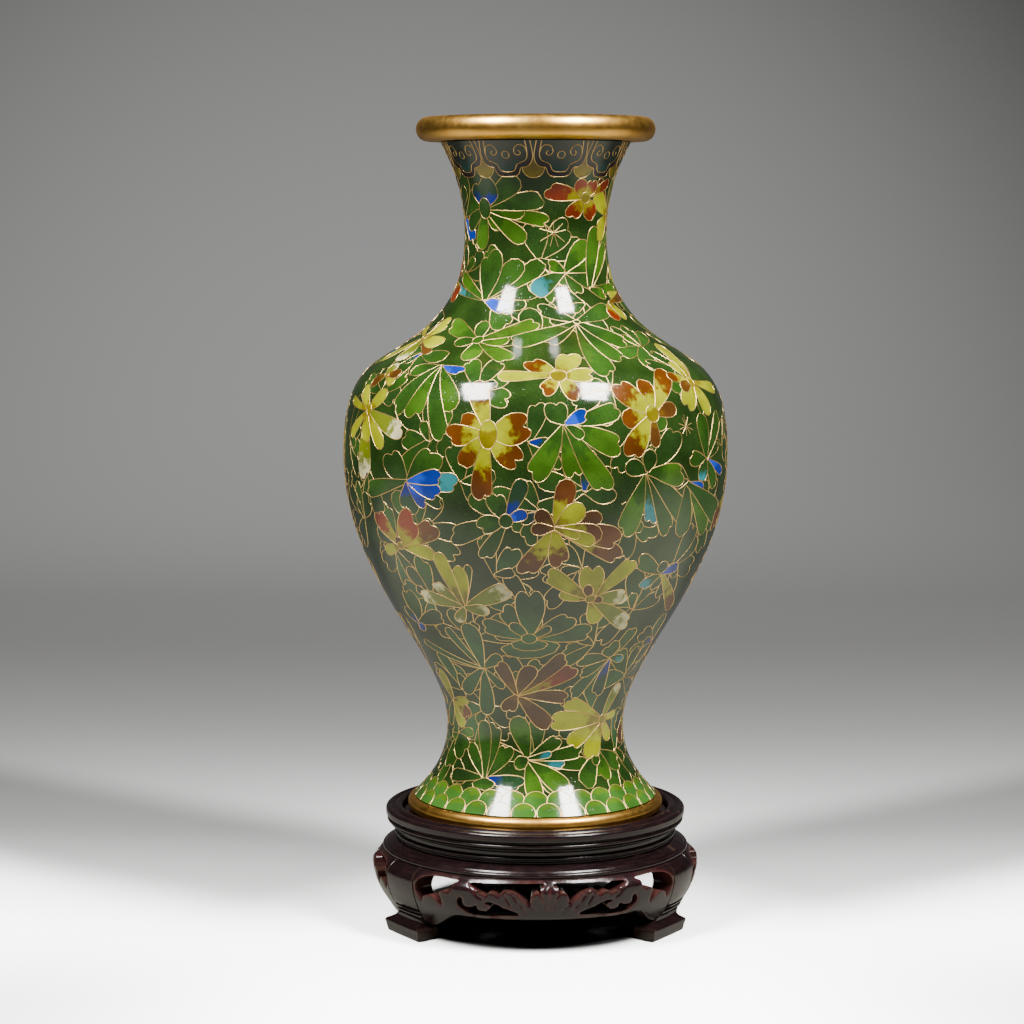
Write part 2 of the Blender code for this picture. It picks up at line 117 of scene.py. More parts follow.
# Flowers seen from the front: azimuth, height, enamel, petals, size of the heart.
# A petal is (direction clockwise from straight up, length, width, tip, enamel if not the flower's).
# Tips are r round, h heart-shaped and n notched like a cloud's edge.
FRONT_FLOWERS = [
    (-14, 149, "sun", [
        (345, 16.5, 6, "n"), (80, 12, 9, "h"), (135, 12, 7, "h"), (190, 18.5, 6, "n"),
        (225, 12, 5.5, "r"), (265, 12.5, 6, "n"), (300, 9.5, 5.5, "r"),
    ], (5.1, 8.2)),
    (7, 165, "gold", [
        (270, 17, 4, "r"), (305, 10.5, 6.5, "n", "sun"), (30, 11.5, 7, "n"), (90, 10, 5.5, "h"),
        (150, 9.5, 5, "n", "sun"), (215, 8, 4.5, "n", "sun"),
    ], (4.8, 4.5)),
    (36, 154, "sun", [
        (310, 14, 7.5, "n"), (0, 11, 5.5, "r"), (40, 17.5, 6.5, "r"), (80, 9.5, 4.5, "r", "rust"),
        (180, 9.5, 3.5, "r", "rust"), (220, 15, 7, "n"), (260, 10.5, 6, "r"),
    ], (4.5, 4.8)),
    (59, 162, "gold", [
        (20, 18, 5.5, "r"), (345, 8.5, 5, "r"), (285, 10, 3.5, "r", "sun"), (225, 11, 6.5, "h"),
        (105, 16.5, 4, "r"), (160, 11.5, 6, "r"), (255, 7, 3.5, "r", "rust"),
    ], (3.0, 3.6)),
    (-60, 154, "gold", [
        (310, 10.5, 4.5, "r"), (45, 9, 5, "r"), (110, 18.5, 5.5, "n", "pale"), (140, 14, 4.5, "r"),
        (180, 9.5, 5.5, "r"), (180, 20, 7.5, "n", "pale"), (235, 13.5, 3.5, "r"),
        (275, 15.5, 2.5, "r"),
    ], (2.4, 3.6)),
    (-66, 174, "gold", [
        (35, 9.5, 6, "n"), (100, 13, 5.5, "r"), (120, 15, 2.5, "r", "rust"),
        (165, 12.5, 6, "r", "pale"), (220, 15.5, 4.5, "r"), (295, 15, 2.5, "r"),
    ], (2.4, 2.1)),
    (-59, 164, "gold", [
        (80, 6.5, 3.5, "r", "rust"), (235, 7, 4, "r", "rust"), (0, 5, 4.5, "r", "pale"),
        (115, 7, 3, "r"),
    ], (2.1, 1.8)),
    (-28, 174, "lime", [
        (295, 15, 6, "n"), (350, 8, 4.5, "r", "fern"), (65, 17, 5.5, "n"), (95, 9.5, 4.5, "r"),
        (125, 16.5, 5, "n"), (170, 10, 6, "r"), (255, 7.5, 4.5, "r", "fern"),
    ], (3.3, 3.3)),
    (23, 179, "fern", [
        (245, 23.5, 5.5, "n"), (295, 11.5, 4.5, "n", "moss"), (230, 14.5, 4, "h", "moss"),
        (70, 14, 5.5, "r"), (130, 17, 6.5, "n"), (160, 19.5, 6, "n"), (180, 24.5, 7.5, "n"),
        (170, 15, 6, "r", "lime"),
    ], (2.1, 1.5)),
    (-36, 167, "lime", [
        (215, 19, 5.5, "n", "fern"), (190, 18, 7, "n"), (165, 24.5, 5.5, "n", "fern"),
        (145, 18, 6.5, "r"), (105, 9, 3.5, "n", "cobalt"), (255, 10, 5, "r", "fern"),
    ]),
    (8, 152, "fern", [
        (65, 7, 4, "n", "cobalt"), (325, 7.5, 6.5, "n", "moss"), (80, 16.5, 5.5, "n"),
        (115, 18, 6.5, "n", "lime"), (150, 22.5, 6.5, "n", "lime"), (170, 15, 6, "h", "lime"),
        (210, 18, 6.5, "n", "lime"), (125, 6.5, 3, "r"), (175, 8, 3.5, "r", "lime"),
    ]),
    (-40, 135, "ink", [
        (78, 12, 4.5, "n", "cobalt"), (108, 11.5, 5, "n", "cobalt"), (50, 14, 8, "n", "fern"),
        (90, 17, 5.5, "n", "sea"), (135, 9, 4.5, "n", "cobalt"), (175, 9.5, 7.5, "n", "ink"),
        (260, 19, 5, "n", "fern"), (310, 11.5, 8, "n", "moss"), (122, 13, 4, "n", "moss"),
    ]),
    (-47, 116, "sun", [
        (315, 13, 6, "n", "red"), (40, 13, 8, "n", "red"), (65, 17, 6, "n"),
        (95, 12.5, 4.5, "r", "gold"), (255, 8.5, 3.5, "r", "gold"), (340, 3, 3, "r", "rust"),
    ], (2.4, 2.4)),
    (-9, 125, "fern", [
        (25, 13, 4.5, "r", "ink"), (335, 9, 5.5, "n"), (260, 8.5, 5.5, "n"),
        (255, 17.5, 6, "n", "moss"), (210, 13.5, 4.5, "n"), (65, 6.5, 3.5, "r", "cobalt"),
        (300, 12.5, 4.5, "r"),
    ], (3.9, 4.2)),
    (5, 123, "sun", [
        (108, 7.6, 2.6, "r", "gold"), (111, 12.5, 4, "r", "gold"), (101, 14, 6, "r"),
        (55, 10.5, 6, "r", "gold"), (75, 14, 4.5, "r", "rust"), (17, 14.5, 5.8, "r"),
        (168, 12, 5.8, "n"), (208, 16.5, 6.2, "n"), (99, 20, 7, "n"), (112, 22, 6, "n"),
        (265, 6.5, 3.8, "r", "rust"), (313, 7.2, 4.4, "r", "rust"),
    ]),
    (33, 138, "fern", [
        (15, 6.5, 5, "r", "moss"), (290, 7.5, 5, "r", "moss"), (95, 14.5, 6.5, "n", "lime"),
        (50, 16.5, 7.5, "n", "moss"), (130, 22, 6.5, "n"), (150, 21, 5.5, "n"),
        (165, 15.5, 5.5, "n", "sea"), (200, 19, 7, "n", "lime"), (155, 9.5, 3, "r", "sea"),
    ]),
    (59, 140, "ink", [
        (275, 9, 4.5, "n", "fern"), (355, 13.5, 6.5, "r", "fern"), (40, 17, 5, "n", "fern"),
        (65, 9.5, 3, "r", "moss"), (205, 7, 5.5, "r", "sea"), (140, 11, 5, "r", "fern"),
        (110, 13.5, 3, "r", "cobalt"),
    ]),
    (49, 134, "moss", [
        (120, 26.5, 7, "n", "fern"), (105, 9, 3, "r", "cobalt"), (175, 16, 7, "r", "fern"),
        (135, 22, 6.5, "r", "lime"),
    ]),
    (-27, 99, "pale", [
        (345, 18.5, 4.5, "r", "gold"), (5, 14, 6, "n", "gold"), (65, 16.5, 5.5, "h"),
        (100, 7.5, 4, "r"), (210, 6.5, 3.5, "r"), (285, 15, 4.5, "n"), (315, 11.5, 3.5, "n"),
        (20, 15, 2.5, "r", "fern"),
    ]),
    (19, 102, "gold", [
        (300, 16.5, 5, "n"), (355, 11, 7.5, "h"), (45, 17, 5, "n"), (90, 12, 5, "n", "pale"),
        (125, 18, 5.5, "n", "pale"), (285, 9.5, 4.5, "n"), (155, 9.5, 5, "r"),
        (340, 5, 3, "r", "rust"), (100, 4, 2.5, "r", "rust"),
    ], (3.1, 2.5)),
    (-3, 90, "haze", [
        (5, 17, 8.5, "h"), (325, 13.5, 5.5, "n"), (60, 15, 6, "n"), (290, 14.5, 5.5, "n"),
        (85, 18.5, 6, "n"), (15, 8.5, 4.5, "r"), (320, 7.5, 3.5, "r"), (275, 10, 3.5, "r"),
        (90, 12, 3, "r"), (60, 7.5, 2.5, "r"), (180, 4.6, 10.6, "r"), (175, 7.4, 17, "r"),
    ], (4.4, 3.6)),
    (-27, 80, "haze", [
        (0, 16.5, 6, "r"), (55, 8.5, 3.5, "r"), (325, 16.5, 3, "r"), (285, 23, 2.5, "r"),
        (280, 12, 2, "r"), (225, 13.5, 4.5, "r"), (185, 16.5, 5, "r"), (145, 8.5, 3, "r"),
    ]),
    (-11, 72, "rust", [
        (340, 12.5, 4.5, "n"), (25, 12, 5, "r"), (50, 21, 4.5, "n", "rust"), (65, 20.5, 5, "n", "red"),
        (90, 15, 4.5, "n", "rust"), (140, 14, 5.5, "r", "rust"), (210, 7, 4.5, "n", "rust"),
        (65, 9, 3, "r", "pale"), (65, 14, 2.5, "r", "rust"),
    ]),
    (47, 63, "gold", [
        (275, 17.5, 6, "h"), (295, 16, 4.5, "n"), (245, 13.5, 5, "n"), (205, 12.5, 6, "n"),
        (295, 10.5, 3, "r", "fern"), (20, 12, 4, "r", "pale"), (150, 7.5, 3.5, "r"),
        (80, 6.5, 2.5, "r"),
    ], (2.7, 3.1)),
    (37, 83, "fern", [
        (30, 11.5, 4.5, "n"), (345, 6, 6, "n"), (270, 10.5, 4.5, "n"), (230, 10, 4, "n"),
        (215, 16, 4.5, "n", "haze"), (180, 14, 4.5, "n", "ink"), (105, 6, 3, "r", "sea"),
    ]),
    (-60, 68, "gold", [
        (350, 10.5, 5.5, "n"), (125, 8, 5, "n", "sun"), (165, 8.5, 5, "r"), (80, 7.5, 2.5, "r"),
        (220, 10.5, 4, "r", "fern"),
    ]),
    (-31, 47, "fern", [
        (350, 17, 4.5, "r"), (5, 16.5, 5, "n"), (320, 12, 4, "r"), (35, 12, 5, "n"),
        (95, 12.5, 4.5, "n", "ink"), (175, 4, 7.5, "r"), (270, 13.5, 4, "r", "moss"),
        (5, 10.5, 3.5, "r", "moss"),
    ]),
    (-5, 53, "fern", [
        (345, 13, 6, "r", "lime"), (60, 11, 4, "n"), (85, 16.5, 4, "n"), (100, 11, 2.5, "n", "sea"),
        (100, 18, 4, "n"), (130, 15, 5.5, "n", "lime"), (170, 12.5, 5, "n", "lime"),
        (240, 4.5, 4, "r"), (80, 7, 2, "r", "sea"),
    ]),
    (43, 54, "fern", [
        (220, 13, 5.5, "r"), (180, 9, 6.5, "n", "lime"), (125, 10.5, 5.5, "n"), (210, 4.5, 3, "r"),
    ]),
    (-59, 58, "fern", [
        (155, 7.5, 8, "n"), (190, 3.5, 9, "n", "lime"), (200, 11.5, 6.5, "n"), (75, 7, 3, "r", "lime"),
    ]),
    (46, 108, "ink", [
        (295, 12.5, 5, "n", "fern"), (240, 8, 4, "n", "sea"), (355, 4, 4.5, "r", "moss"),
        (75, 7.5, 3.5, "r", "cobalt"), (135, 20, 4.5, "r", "sun"),
    ]),
    (-56, 92, "ink", [
        (70, 14, 5, "n", "moss"), (20, 13, 7.5, "n", "fern"), (145, 3, 4, "r", "cobalt"),
        (330, 6.5, 4.5, "r"),
    ]),
    (85, 65, "sun", [
        (350, 6, 7, "r", "red"), (165, 6, 5.5, "r", "rust"), (215, 13, 4.5, "r"),
    ]),
    (41, 214, "sun", [
        (280, 13.5, 5, "n", "red"), (325, 6.5, 4.5, "r", "red"), (30, 6, 4.5, "n", "red"),
        (65, 11.5, 3, "r", "red"), (220, 8, 5, "n", "red"), (150, 7.5, 5.5, "r", "red"),
    ], (3.4, 3.3)),
    (-44, 211, "fern", [
        (5, 9.5, 10, "n", "ink"), (55, 15.5, 6, "r"), (80, 19, 5.5, "r"), (95, 13, 5, "r", "lime"),
        (100, 20, 4, "n", "lime"), (125, 16, 5, "r", "lime"), (135, 8, 4.5, "r", "lime"),
        (190, 12, 5, "r", "lime"), (240, 10.5, 4.5, "r", "moss"),
    ], (4.5, 6.0)),
    (-36, 185, "fern", [
        (355, 15, 8, "n"), (35, 15, 6.5, "r"), (55, 19.5, 5.5, "r"), (350, 8.5, 2.5, "r", "cobalt"),
        (300, 15.5, 3.5, "r", "lime"), (280, 17, 2.5, "r", "sea"), (110, 9.5, 4.5, "n", "cobalt"),
    ]),
    (22, 193, "lime", [
        (240, 12.5, 5.5, "r", "sea"), (295, 5.5, 3.5, "n"), (40, 12, 6, "r"), (80, 15.5, 4.5, "r"),
        (110, 11, 4.5, "n", "fern"), (150, 8, 4, "n", "fern"),
    ]),
    (41, 188, "lime", [
        (90, 15, 4, "n"), (110, 6.5, 3.5, "n"), (20, 19, 6, "r"), (40, 17.5, 4.5, "r"),
    ]),
    (55, 184, "sun", [
        (80, 15, 3, "r", "rust"), (140, 7.5, 3.5, "r", "gold"), (195, 6.5, 5, "r", "red"),
    ]),
    (-89, 211, "fern", [
        (60, 11, 4.5, "r"), (180, 9, 7.5, "r", "lime"), (0, 7, 6.5, "r"),
    ]),
]

# Free-standing sparks of wire: azimuth, height, length of the rays, how many
SPARKS = [
    (14, 204, 4.6, 9), (49, 150, 3.4, 10), (-100, 150, 3.6, 9), (170, 202, 4.2, 9), (128, 104, 3.4, 9),
]

# Curled wires in the ground: azimuth, height, direction, radius, sweep
CURLS = [
    (-13, 187, 20, 3.6, 200), (-12, 157, 340, 3.4, 190), (-27, 145, 200, 2.6, 230),
    (27, 127, 60, 3.0, 200), (-5, 104, 20, 3.2, 190), (17, 92, 200, 3.4, 180),
    (-27, 67, 60, 3.6, 200), (-43, 56, 330, 2.8, 220),
]

# Border under the lip: cloud heads, and lobes hanging between them
HEAD_COUNT = 10
HEAD_AZIMUTH = 16.0
HEAD_DROP = 219.6            # height of the lowest point of a head
HEAD_EDGE = [(7.7, 12.5), (7.9, 7.0), (6.9, 4.3), (5.4, 3.3), (4.0, 3.0), (3.3, 1.4), (1.9, 0.4)]
HEAD_FIELD = [(6.2, 12.5), (6.4, 7.6), (5.6, 5.4), (4.0, 4.6), (2.9, 3.9), (2.2, 2.4), (1.1, 1.8)]
HEAD_CURL = [
    (6.4, 7.6), (6.0, 9.3), (4.7, 10.1), (3.3, 9.6), (2.6, 8.2), (3.1, 7.0), (4.2, 7.0), (4.4, 7.9),
    (3.8, 8.3),
]
HEAD_REACH = 12.0            # over which the enamel of a head changes colour
DOT_WIDTH = 2.2
DOT_RISE = 7.0               # of a head's dot above its lowest point
LOBE_RADIUS = 3.2
LOBE_RISE = 3.2              # of a lobe's middle above the lowest point of the heads

# What covers what: where cells overlap, the one of the highest rank shows
LEAF_RANK = 1.0
GREEN_RANK = 10.0
BRIGHT_RANK = 20.0
LOBE_RANK = 38.0
HEAD_RANK = 40.0
SCALE_RANK = 50.0
SHORT_PETAL = 8.0            # a petal shorter than this lies on the longer ones
SHORT_ABOVE = 4.0
HEART_ABOVE = 6.0
BRIGHT_ENAMELS = ("sun", "gold", "pale", "rust")

# A petal ends in two lobes side by side: middles and radii against its half width, and how much
# lower each one ends
TIP_LOBES = {
    "r": ((0.0, 0.0), (1.0, 1.0), (0.0, 0.0)),
    "h": ((0.46, -0.46), (0.54, 0.54), (0.1, 0.0)),
    "n": ((0.58, -0.3), (0.42, 0.7), (0.48, 0.0)),
}

# Green sprays behind the flowers: heights of their rows, and how many each row has
LEAF_HEIGHTS = range(52, 208, 12)
LEAF_COUNTS = [6, 6, 7, 8, 9, 10, 11, 10, 10, 9, 7, 6, 5]

# Flowers on the back, in rows: height, azimuth of the row's edge, distance between two of them
BACK_ROWS = [
    (207, 58, 44), (188, 76, 46), (170, 78, 36), (150, 74, 30), (131, 68, 29), (112, 70, 30),
    (96, 92, 34), (79, 92, 40), (62, 98, 46), (50, 94, 42),
]

# Border above the foot: rows of scales, each row in front of the one above it
SCALE_COUNT = 30
SCALE_ROWS = [(4.6, 3.7), (1.0, 3.5)]    # distance along the wall from its lower edge, radius

# Metal rings and mouldings
MOUTH_WALL = 3.4             # from the wall's upper edge to the bore of the mouth
FOOT_BORE = 31.0
FOOT_ROUND = 1.8
TRAY_RECESS = 39.5           # radius of the recess the vase stands in
WAIST_DEPTH = 6.0
BOARD_BORE = 34.0
SKIN_GAP = 2.5               # from the outside of the wall to the outside of the inner enamel
SKIN_THICKNESS = 0.5

# Lamps on the vase, and lamps that light only the floor the camera sees
WHITE_LIGHT = (1.0, 0.985, 0.96)
LAMP_SIZE = (0.17, 0.34)     # metres
LAMP_DISTANCE = 0.75
LAMP_AIM = (0.0, 0.0, 0.12)
LAMP_ROLL = 30.0             # degrees, the lamps lean outwards
LAMP_BALANCE = 0.08          # how much stronger the right one is, and how much weaker the left one
LAMP_PLACE = (50.0, 54.0)    # azimuth to either side, and elevation
LAMP_POWER = 15.0            # watts
FLOOR_PLACE = (52.0, 45.0)
FLOOR_POWER = 46.0
ROOM_COLOUR = (0.80, 0.84, 0.88)
ROOM_LIGHT = 0.05

# The floor the camera sees, in metres: its tones from the front to the far wall, darker towards the back as
# a painted fall-off of the light
FLOOR_FRONT, FLOOR_FAR = -0.1, 1.3
FLOOR_TONES = [
    (0.0, 0.95), (0.1, 0.7), (0.16, 0.18), (0.25, 0.06), (0.35, 0.045), (0.5, 0.04), (0.7, 0.12),
    (1.0, 0.12),
]
PAINTED_LIGHT_AT = (-0.12, 0.08)      # middle of the painted pool of light on the far wall: across, up
PAINTED_LIGHT_FALL = (2.1, 3.2)       # how fast the painted light fades into painted shade away from it: across, up
# the least share of the painted light on the far wall
PAINTED_LIGHT_LEAST = 0.2
PAINTED_SHADOW_RUN = (0.79, 0.62)    # direction of the vase's painted shadows on the floor: across, back
PAINTED_SHADOW_HALF = (0.03, 0.075)  # half width of a painted shadow, where it starts to fade and where it ends
# distance from the middle where a painted shadow begins, and where it is full
PAINTED_SHADOW_START = (0.035, 0.09)
PAINTED_SHADOW_DEPTH = 0.6           # how much darker a painted shadow is
PAINTED_STAND_SHADE = (0.037, 0.045)    # radii between which the painted shade under the stand ends
PAINTED_SIDE_SHADE = (0.04, 0.15)     # the front of the floor is painted darker this far to either side, as painted shade


# ---------------------------------------------------------------- the wall of the vase

def natural_spline(knots, values):
    """A smooth curve through values at knots, returned as a function of the knot value."""
    count = len(knots)
    steps = np.diff(knots)
    system = np.eye(count)
    right = np.zeros(count)
    for i in range(1, count - 1):
        system[i, i - 1:i + 2] = (steps[i - 1], 2.0 * (steps[i - 1] + steps[i]), steps[i])
        slopes = (values[i + 1] - values[i]) / steps[i], (values[i] - values[i - 1]) / steps[i - 1]
        right[i] = 6.0 * (slopes[0] - slopes[1])
    bend = np.linalg.solve(system, right)

    def at(where):
        i = np.clip(np.searchsorted(knots, where) - 1, 0, count - 2)
        a = (knots[i + 1] - where) / steps[i]
        b = 1.0 - a
        curved = ((a ** 3 - a) * bend[i] + (b ** 3 - b) * bend[i + 1]) * steps[i] ** 2 / 6.0
        return a * values[i] + b * values[i + 1] + curved
    return at


def cad_outline(node):
    """Points (radius, height) down the outside of a turned CAD node, in millimetres, lowest first."""
    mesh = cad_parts[node].data
    found = {}
    for face in mesh.polygons:
        middle = Vector((face.center.x, face.center.y, 0.0))
        if face.normal.dot(middle.normalized()) < 0.1:
            continue
        for index in face.vertices:
            point = mesh.vertices[index].co
            found[round(point.z / MM, 2)] = math.hypot(point.x, point.y) / MM
    heights = sorted(found)
    return np.array([found[z] for z in heights]), np.array(heights)


class Wall:
    """The turned outside of the vase, measured by distance along it from its lower edge."""

    def __init__(self, node):
        radii, heights = cad_outline(node)
        along = np.r_[0.0, np.cumsum(np.hypot(np.diff(radii), np.diff(heights)))]
        radius_at, height_at = natural_spline(along, radii), natural_spline(along, heights)
        fine = np.linspace(0.0, along[-1], 2000)
        self.radii, self.heights = radius_at(fine), height_at(fine)
        runs = np.hypot(np.diff(self.radii), np.diff(self.heights))
        self.along = np.r_[0.0, np.cumsum(runs)]
        self.length = self.along[-1]
        slope_r, slope_z = np.gradient(self.radii), np.gradient(self.heights)
        size = np.hypot(slope_r, slope_z)
        self.normal_r, self.normal_z = slope_z / size, -slope_r / size

    def distance(self, height):
        return float(np.interp(height, self.heights, self.along))

    def radius(self, along):
        return np.interp(along, self.along, self.radii)

    def height(self, along):
        return np.interp(along, self.along, self.heights)

    def place(self, turn, along, lift=0.0):
        """Points and outward normals, in metres, for turns in radians and distances along."""
        out_r = np.interp(along, self.along, self.normal_r)
        out_z = np.interp(along, self.along, self.normal_z)
        radius = self.radius(along) + lift * out_r
        height = self.height(along) + lift * out_z
        sine, cosine = np.sin(turn), np.cos(turn)
        points = np.stack([radius * sine, -radius * cosine, height], axis=-1) * MM
        normals = np.stack([out_r * sine, -out_r * cosine, out_z], axis=-1)
        return points, normals


# ---------------------------------------------------------------- outlines of the cells

def petal_crown(half, length, tip, flip):
    """The end of a petal, from its right side round to its left, and the height it starts at.

    It is drawn as the outer edge of two overlapping ovals.
    """
    centre, spread, drop = TIP_LOBES[tip]
    base = max(length - 1.1 * half, 0.45 * length)
    rise = length - base
    lobes = [(centre[side] * half, spread[side] * half, drop[side] * rise) for side in (0, 1)]
    steps = 9 if tip != "r" else 5
    top = []
    for side, (middle, radius, fall) in enumerate(lobes):
        other_middle, other_radius, other_fall = lobes[1 - side]
        for i in range(steps + 1):
            turn = math.pi * i / steps
            x = middle + radius * math.cos(turn)
            y = (rise - fall) * math.sin(turn)
            reach = math.hypot((x - other_middle) / other_radius, y / (rise - other_fall))
            if reach > 1.0 or (tip == "r" and (turn <= 0.5 * math.pi) == (side == 0)):
                top.append((x * flip, base + y))
    return (top if flip > 0.0 else top[::-1]), base


def petal_loop(length, width, tip, bend, flip):
    """Outline of a petal, from its base at the origin up its right side and down its left."""
    half = width / 2.0
    foot = 0.15 * half + 0.2
    top, waist = petal_crown(half, length, tip, flip)
    side_count = max(int(waist / 1.3), 4)
    sides = []
    for i in range(side_count):
        t = i / side_count
        sides.append((foot + (half - foot) * math.sin(0.5 * math.pi * t) ** 1.25, waist * t))
    loop = sides + top + [(-x, y) for x, y in reversed(sides)]
    return [(x + bend * length * (y / length) ** 2, y) for x, y in loop]


def round_loop(width, height, count=22):
    """Outline of an oval around the origin, clockwise from its top."""
    return [
        (0.5 * width * math.sin(math.tau * i / count), 0.5 * height * math.cos(math.tau * i / count))
        for i in range(count)
    ]


def smooth_line(points, steps, closed):
    """A curve through the points, with steps points to each stretch."""
    count = len(points)
    curve = []
    for i in range(count if closed else count - 1):
        near = [(i + k) % count if closed else min(max(i + k, 0), count - 1) for k in (-1, 0, 1, 2)]
        p0, p1, p2, p3 = (Vector(points[k]) for k in near)
        for s in range(steps):
            t = s / steps
            curve.append(tuple(
                p1 + 0.5 * t * (p2 - p0) + t * t * (p0 - 2.5 * p1 + 2.0 * p2 - 0.5 * p3)
                + 0.5 * t ** 3 * (3.0 * p1 - 3.0 * p2 + p3 - p0)
            ))
    return curve if closed else curve + [tuple(points[-1])]


class Drawing:
    """Cells and loose wires on the unrolled wall, as (turn in radians, distance along)."""

    def __init__(self, wall):
        self.wall = wall
        self.cells = []
        self.loose = []

    def on_wall(self, points, azimuth, start, clock=0.0):
        """Move local points (right, up) to a place on the wall, turned clockwise by clock."""
        turn = math.radians(clock)
        cosine, sine = math.cos(turn), math.sin(turn)
        placed = []
        for x, y in points:
            right, up = x * cosine + y * sine, y * cosine - x * sine
            along = start + up
            placed.append((math.radians(azimuth) + right / float(self.wall.radius(along)), along))
        return placed

    def cell(self, points, azimuth, start, clock, enamel, rank, reach):
        """A cell whose enamel changes colour over reach, from its local origin up."""
        self.cells.append({
            "loop": np.array(self.on_wall(points, azimuth, start, clock)),
            "origin": (math.radians(azimuth), start), "clock": math.radians(clock),
            "reach": reach, "enamel": enamel, "rank": rank,
        })

    def flower(self, azimuth, height, enamel, petals, heart, rank, rng):
        """Petals around one point, the first on top, and a heart in the middle if it has one."""
        start = self.wall.distance(height)
        for number, petal in enumerate(petals):
            clock, length, width, tip = petal[:4]
            colour = petal[4] if len(petal) > 4 else enamel
            bend = rng.uniform(-0.07, 0.07)
            flip = rng.choice((-1.0, 1.0))
            outline = petal_loop(length, width, tip, bend, flip)
            above = SHORT_ABOVE if length < SHORT_PETAL else 0.0
            order = rank + above - 0.01 * number
            self.cell(outline, azimuth, start, clock, colour, order, length)
        if heart:
            tilt = rng.uniform(-20.0, 20.0)
            middle = "gold" if enamel in BRIGHT_ENAMELS else enamel
            self.cell(round_loop(*heart), azimuth, start, tilt, middle, rank + HEART_ABOVE, 4.0)

    def spark(self, azimuth, height, reach, rays, rng):
        """Rays of loose wire, which lie on whatever is there."""
        start = self.wall.distance(height)
        for i in range(rays):
            clock = 360.0 * i / rays + rng.uniform(-9.0, 9.0)
            ray = [(0.0, 0.2), (0.0, 0.5 * reach), (0.0, reach * rng.uniform(0.75, 1.0))]
            self.loose.append((self.on_wall(ray, azimuth, start, clock), None))

    def curl(self, azimuth, height, clock, radius, sweep):
        """An arc of loose wire, which shows only where no cell covers the ground."""
        arc = []
        steps = 14
        for i in range(steps + 1):
            turn = math.radians(sweep * (i / steps - 0.5))
            arc.append((radius * math.sin(turn), radius * math.cos(turn)))
        placed = self.on_wall(arc, azimuth, self.wall.distance(height), clock)
        self.loose.append((placed, "ground"))


def mirrored(half):
    """Both sides of a symmetrical line that starts far right and ends near the middle."""
    return half + [(-x, y) for x, y in reversed(half)]


def wrapped(azimuth):
    """The same azimuth, between -180 and 180 degrees."""
    return (azimuth + 180.0) % 360.0 - 180.0


def draw_borders(drawing):
    """The cloud heads under the lip, with lobes between them, and the scales above the foot."""
    wall = drawing.wall
    drop = wall.distance(HEAD_DROP)
    step = 360.0 / HEAD_COUNT
    edge = smooth_line(mirrored(HEAD_EDGE), 4, False)
    field = smooth_line(mirrored(HEAD_FIELD), 4, False)
    for i in range(HEAD_COUNT):
        azimuth = wrapped(HEAD_AZIMUTH + step * i)
        drawing.cell(edge, azimuth, drop, 0.0, "band", HEAD_RANK, HEAD_REACH)
        drawing.cell(field, azimuth, drop, 0.0, "cloud", HEAD_RANK + 2.0, HEAD_REACH)
        dot = round_loop(DOT_WIDTH, DOT_WIDTH, 14)
        drawing.cell(dot, azimuth, drop + DOT_RISE, 0.0, "cloud", HEAD_RANK + 4.0, 2.0)
        lobe = round_loop(2.0 * LOBE_RADIUS, 2.0 * LOBE_RADIUS)
        drawing.cell(lobe, azimuth + step / 2.0, drop + LOBE_RISE, 150.0, "olive", LOBE_RANK, 5.0)
        for side in (-1.0, 1.0):
            curl = smooth_line([(side * x, y) for x, y in HEAD_CURL], 3, False)
            drawing.loose.append((drawing.on_wall(curl, azimuth, drop), "cloud"))
    for row, (along, radius) in enumerate(SCALE_ROWS):
        for i in range(SCALE_COUNT):
            azimuth = -180.0 + (i + 0.5 * row) * 360.0 / SCALE_COUNT
            rank = SCALE_RANK + 2.0 * row + 0.001 * i
            scale = round_loop(2.0 * radius, 2.0 * radius, 26)
            drawing.cell(scale, azimuth, along, 0.0, "scale", rank, radius)


def back_flowers(rng):
    """The same kinds of flower over the part of the wall that the front list leaves."""
    kinds = [flower for flower in FRONT_FLOWERS if len(flower[3]) >= 6]
    flowers = []
    for row, (height, first, spacing) in enumerate(BACK_ROWS):
        sweep = 360.0 - 2.0 * first
        count = max(int(round(sweep / spacing)), 1)
        for i in range(count):
            azimuth = wrapped(first + sweep * (i + 0.5) / count + rng.uniform(-3.0, 3.0))
            near = [kind for kind in kinds if abs(kind[1] - height) < 45.0]
            kind = near[(3 * row + 5 * i + rng.randrange(3)) % len(near)]
            swing = rng.choice((-30.0, 25.0, 160.0, 200.0))
            petals = [((petal[0] + swing) % 360.0, *petal[1:]) for petal in kind[3]]
            flowers.append((azimuth, height + rng.uniform(-3.0, 3.0), kind[2], petals, *kind[4:]))
    return flowers


def under_leaves(rng):
    """Green sprays behind the flowers, which show only between them."""
    sprays = []
    for row, (height, count) in enumerate(zip(LEAF_HEIGHTS, LEAF_COUNTS)):
        for i in range(count):
            azimuth = wrapped(360.0 * (i + 0.5 * (row % 2)) / count + rng.uniform(-5.0, 5.0))
            facing = rng.uniform(0.0, 360.0)
            number = rng.randrange(4, 7)
            petals = []
            for k in range(number):
                clock = (facing + 42.0 * (k - number / 2.0) + rng.uniform(-8.0, 8.0)) % 360.0
                length, width = rng.uniform(9.0, 15.0), rng.uniform(4.6, 7.2)
                enamel = rng.choice(("moss", "moss", "moss", "haze", "fern", "fern"))
                # the pale haze enamel stays low on the vase, where it partly paints the floor's reflection
                if enamel == "haze" and height > 120:
                    enamel = "moss"
                petals.append((clock, length, width, rng.choice("nnhr"), enamel))
            petals.append((facing, 6.0, 3.2, "r", rng.choice(("ink", "moss", "fern"))))
            sprays.append((azimuth, height + rng.uniform(-3.5, 3.5), "moss", petals))
    return sprays


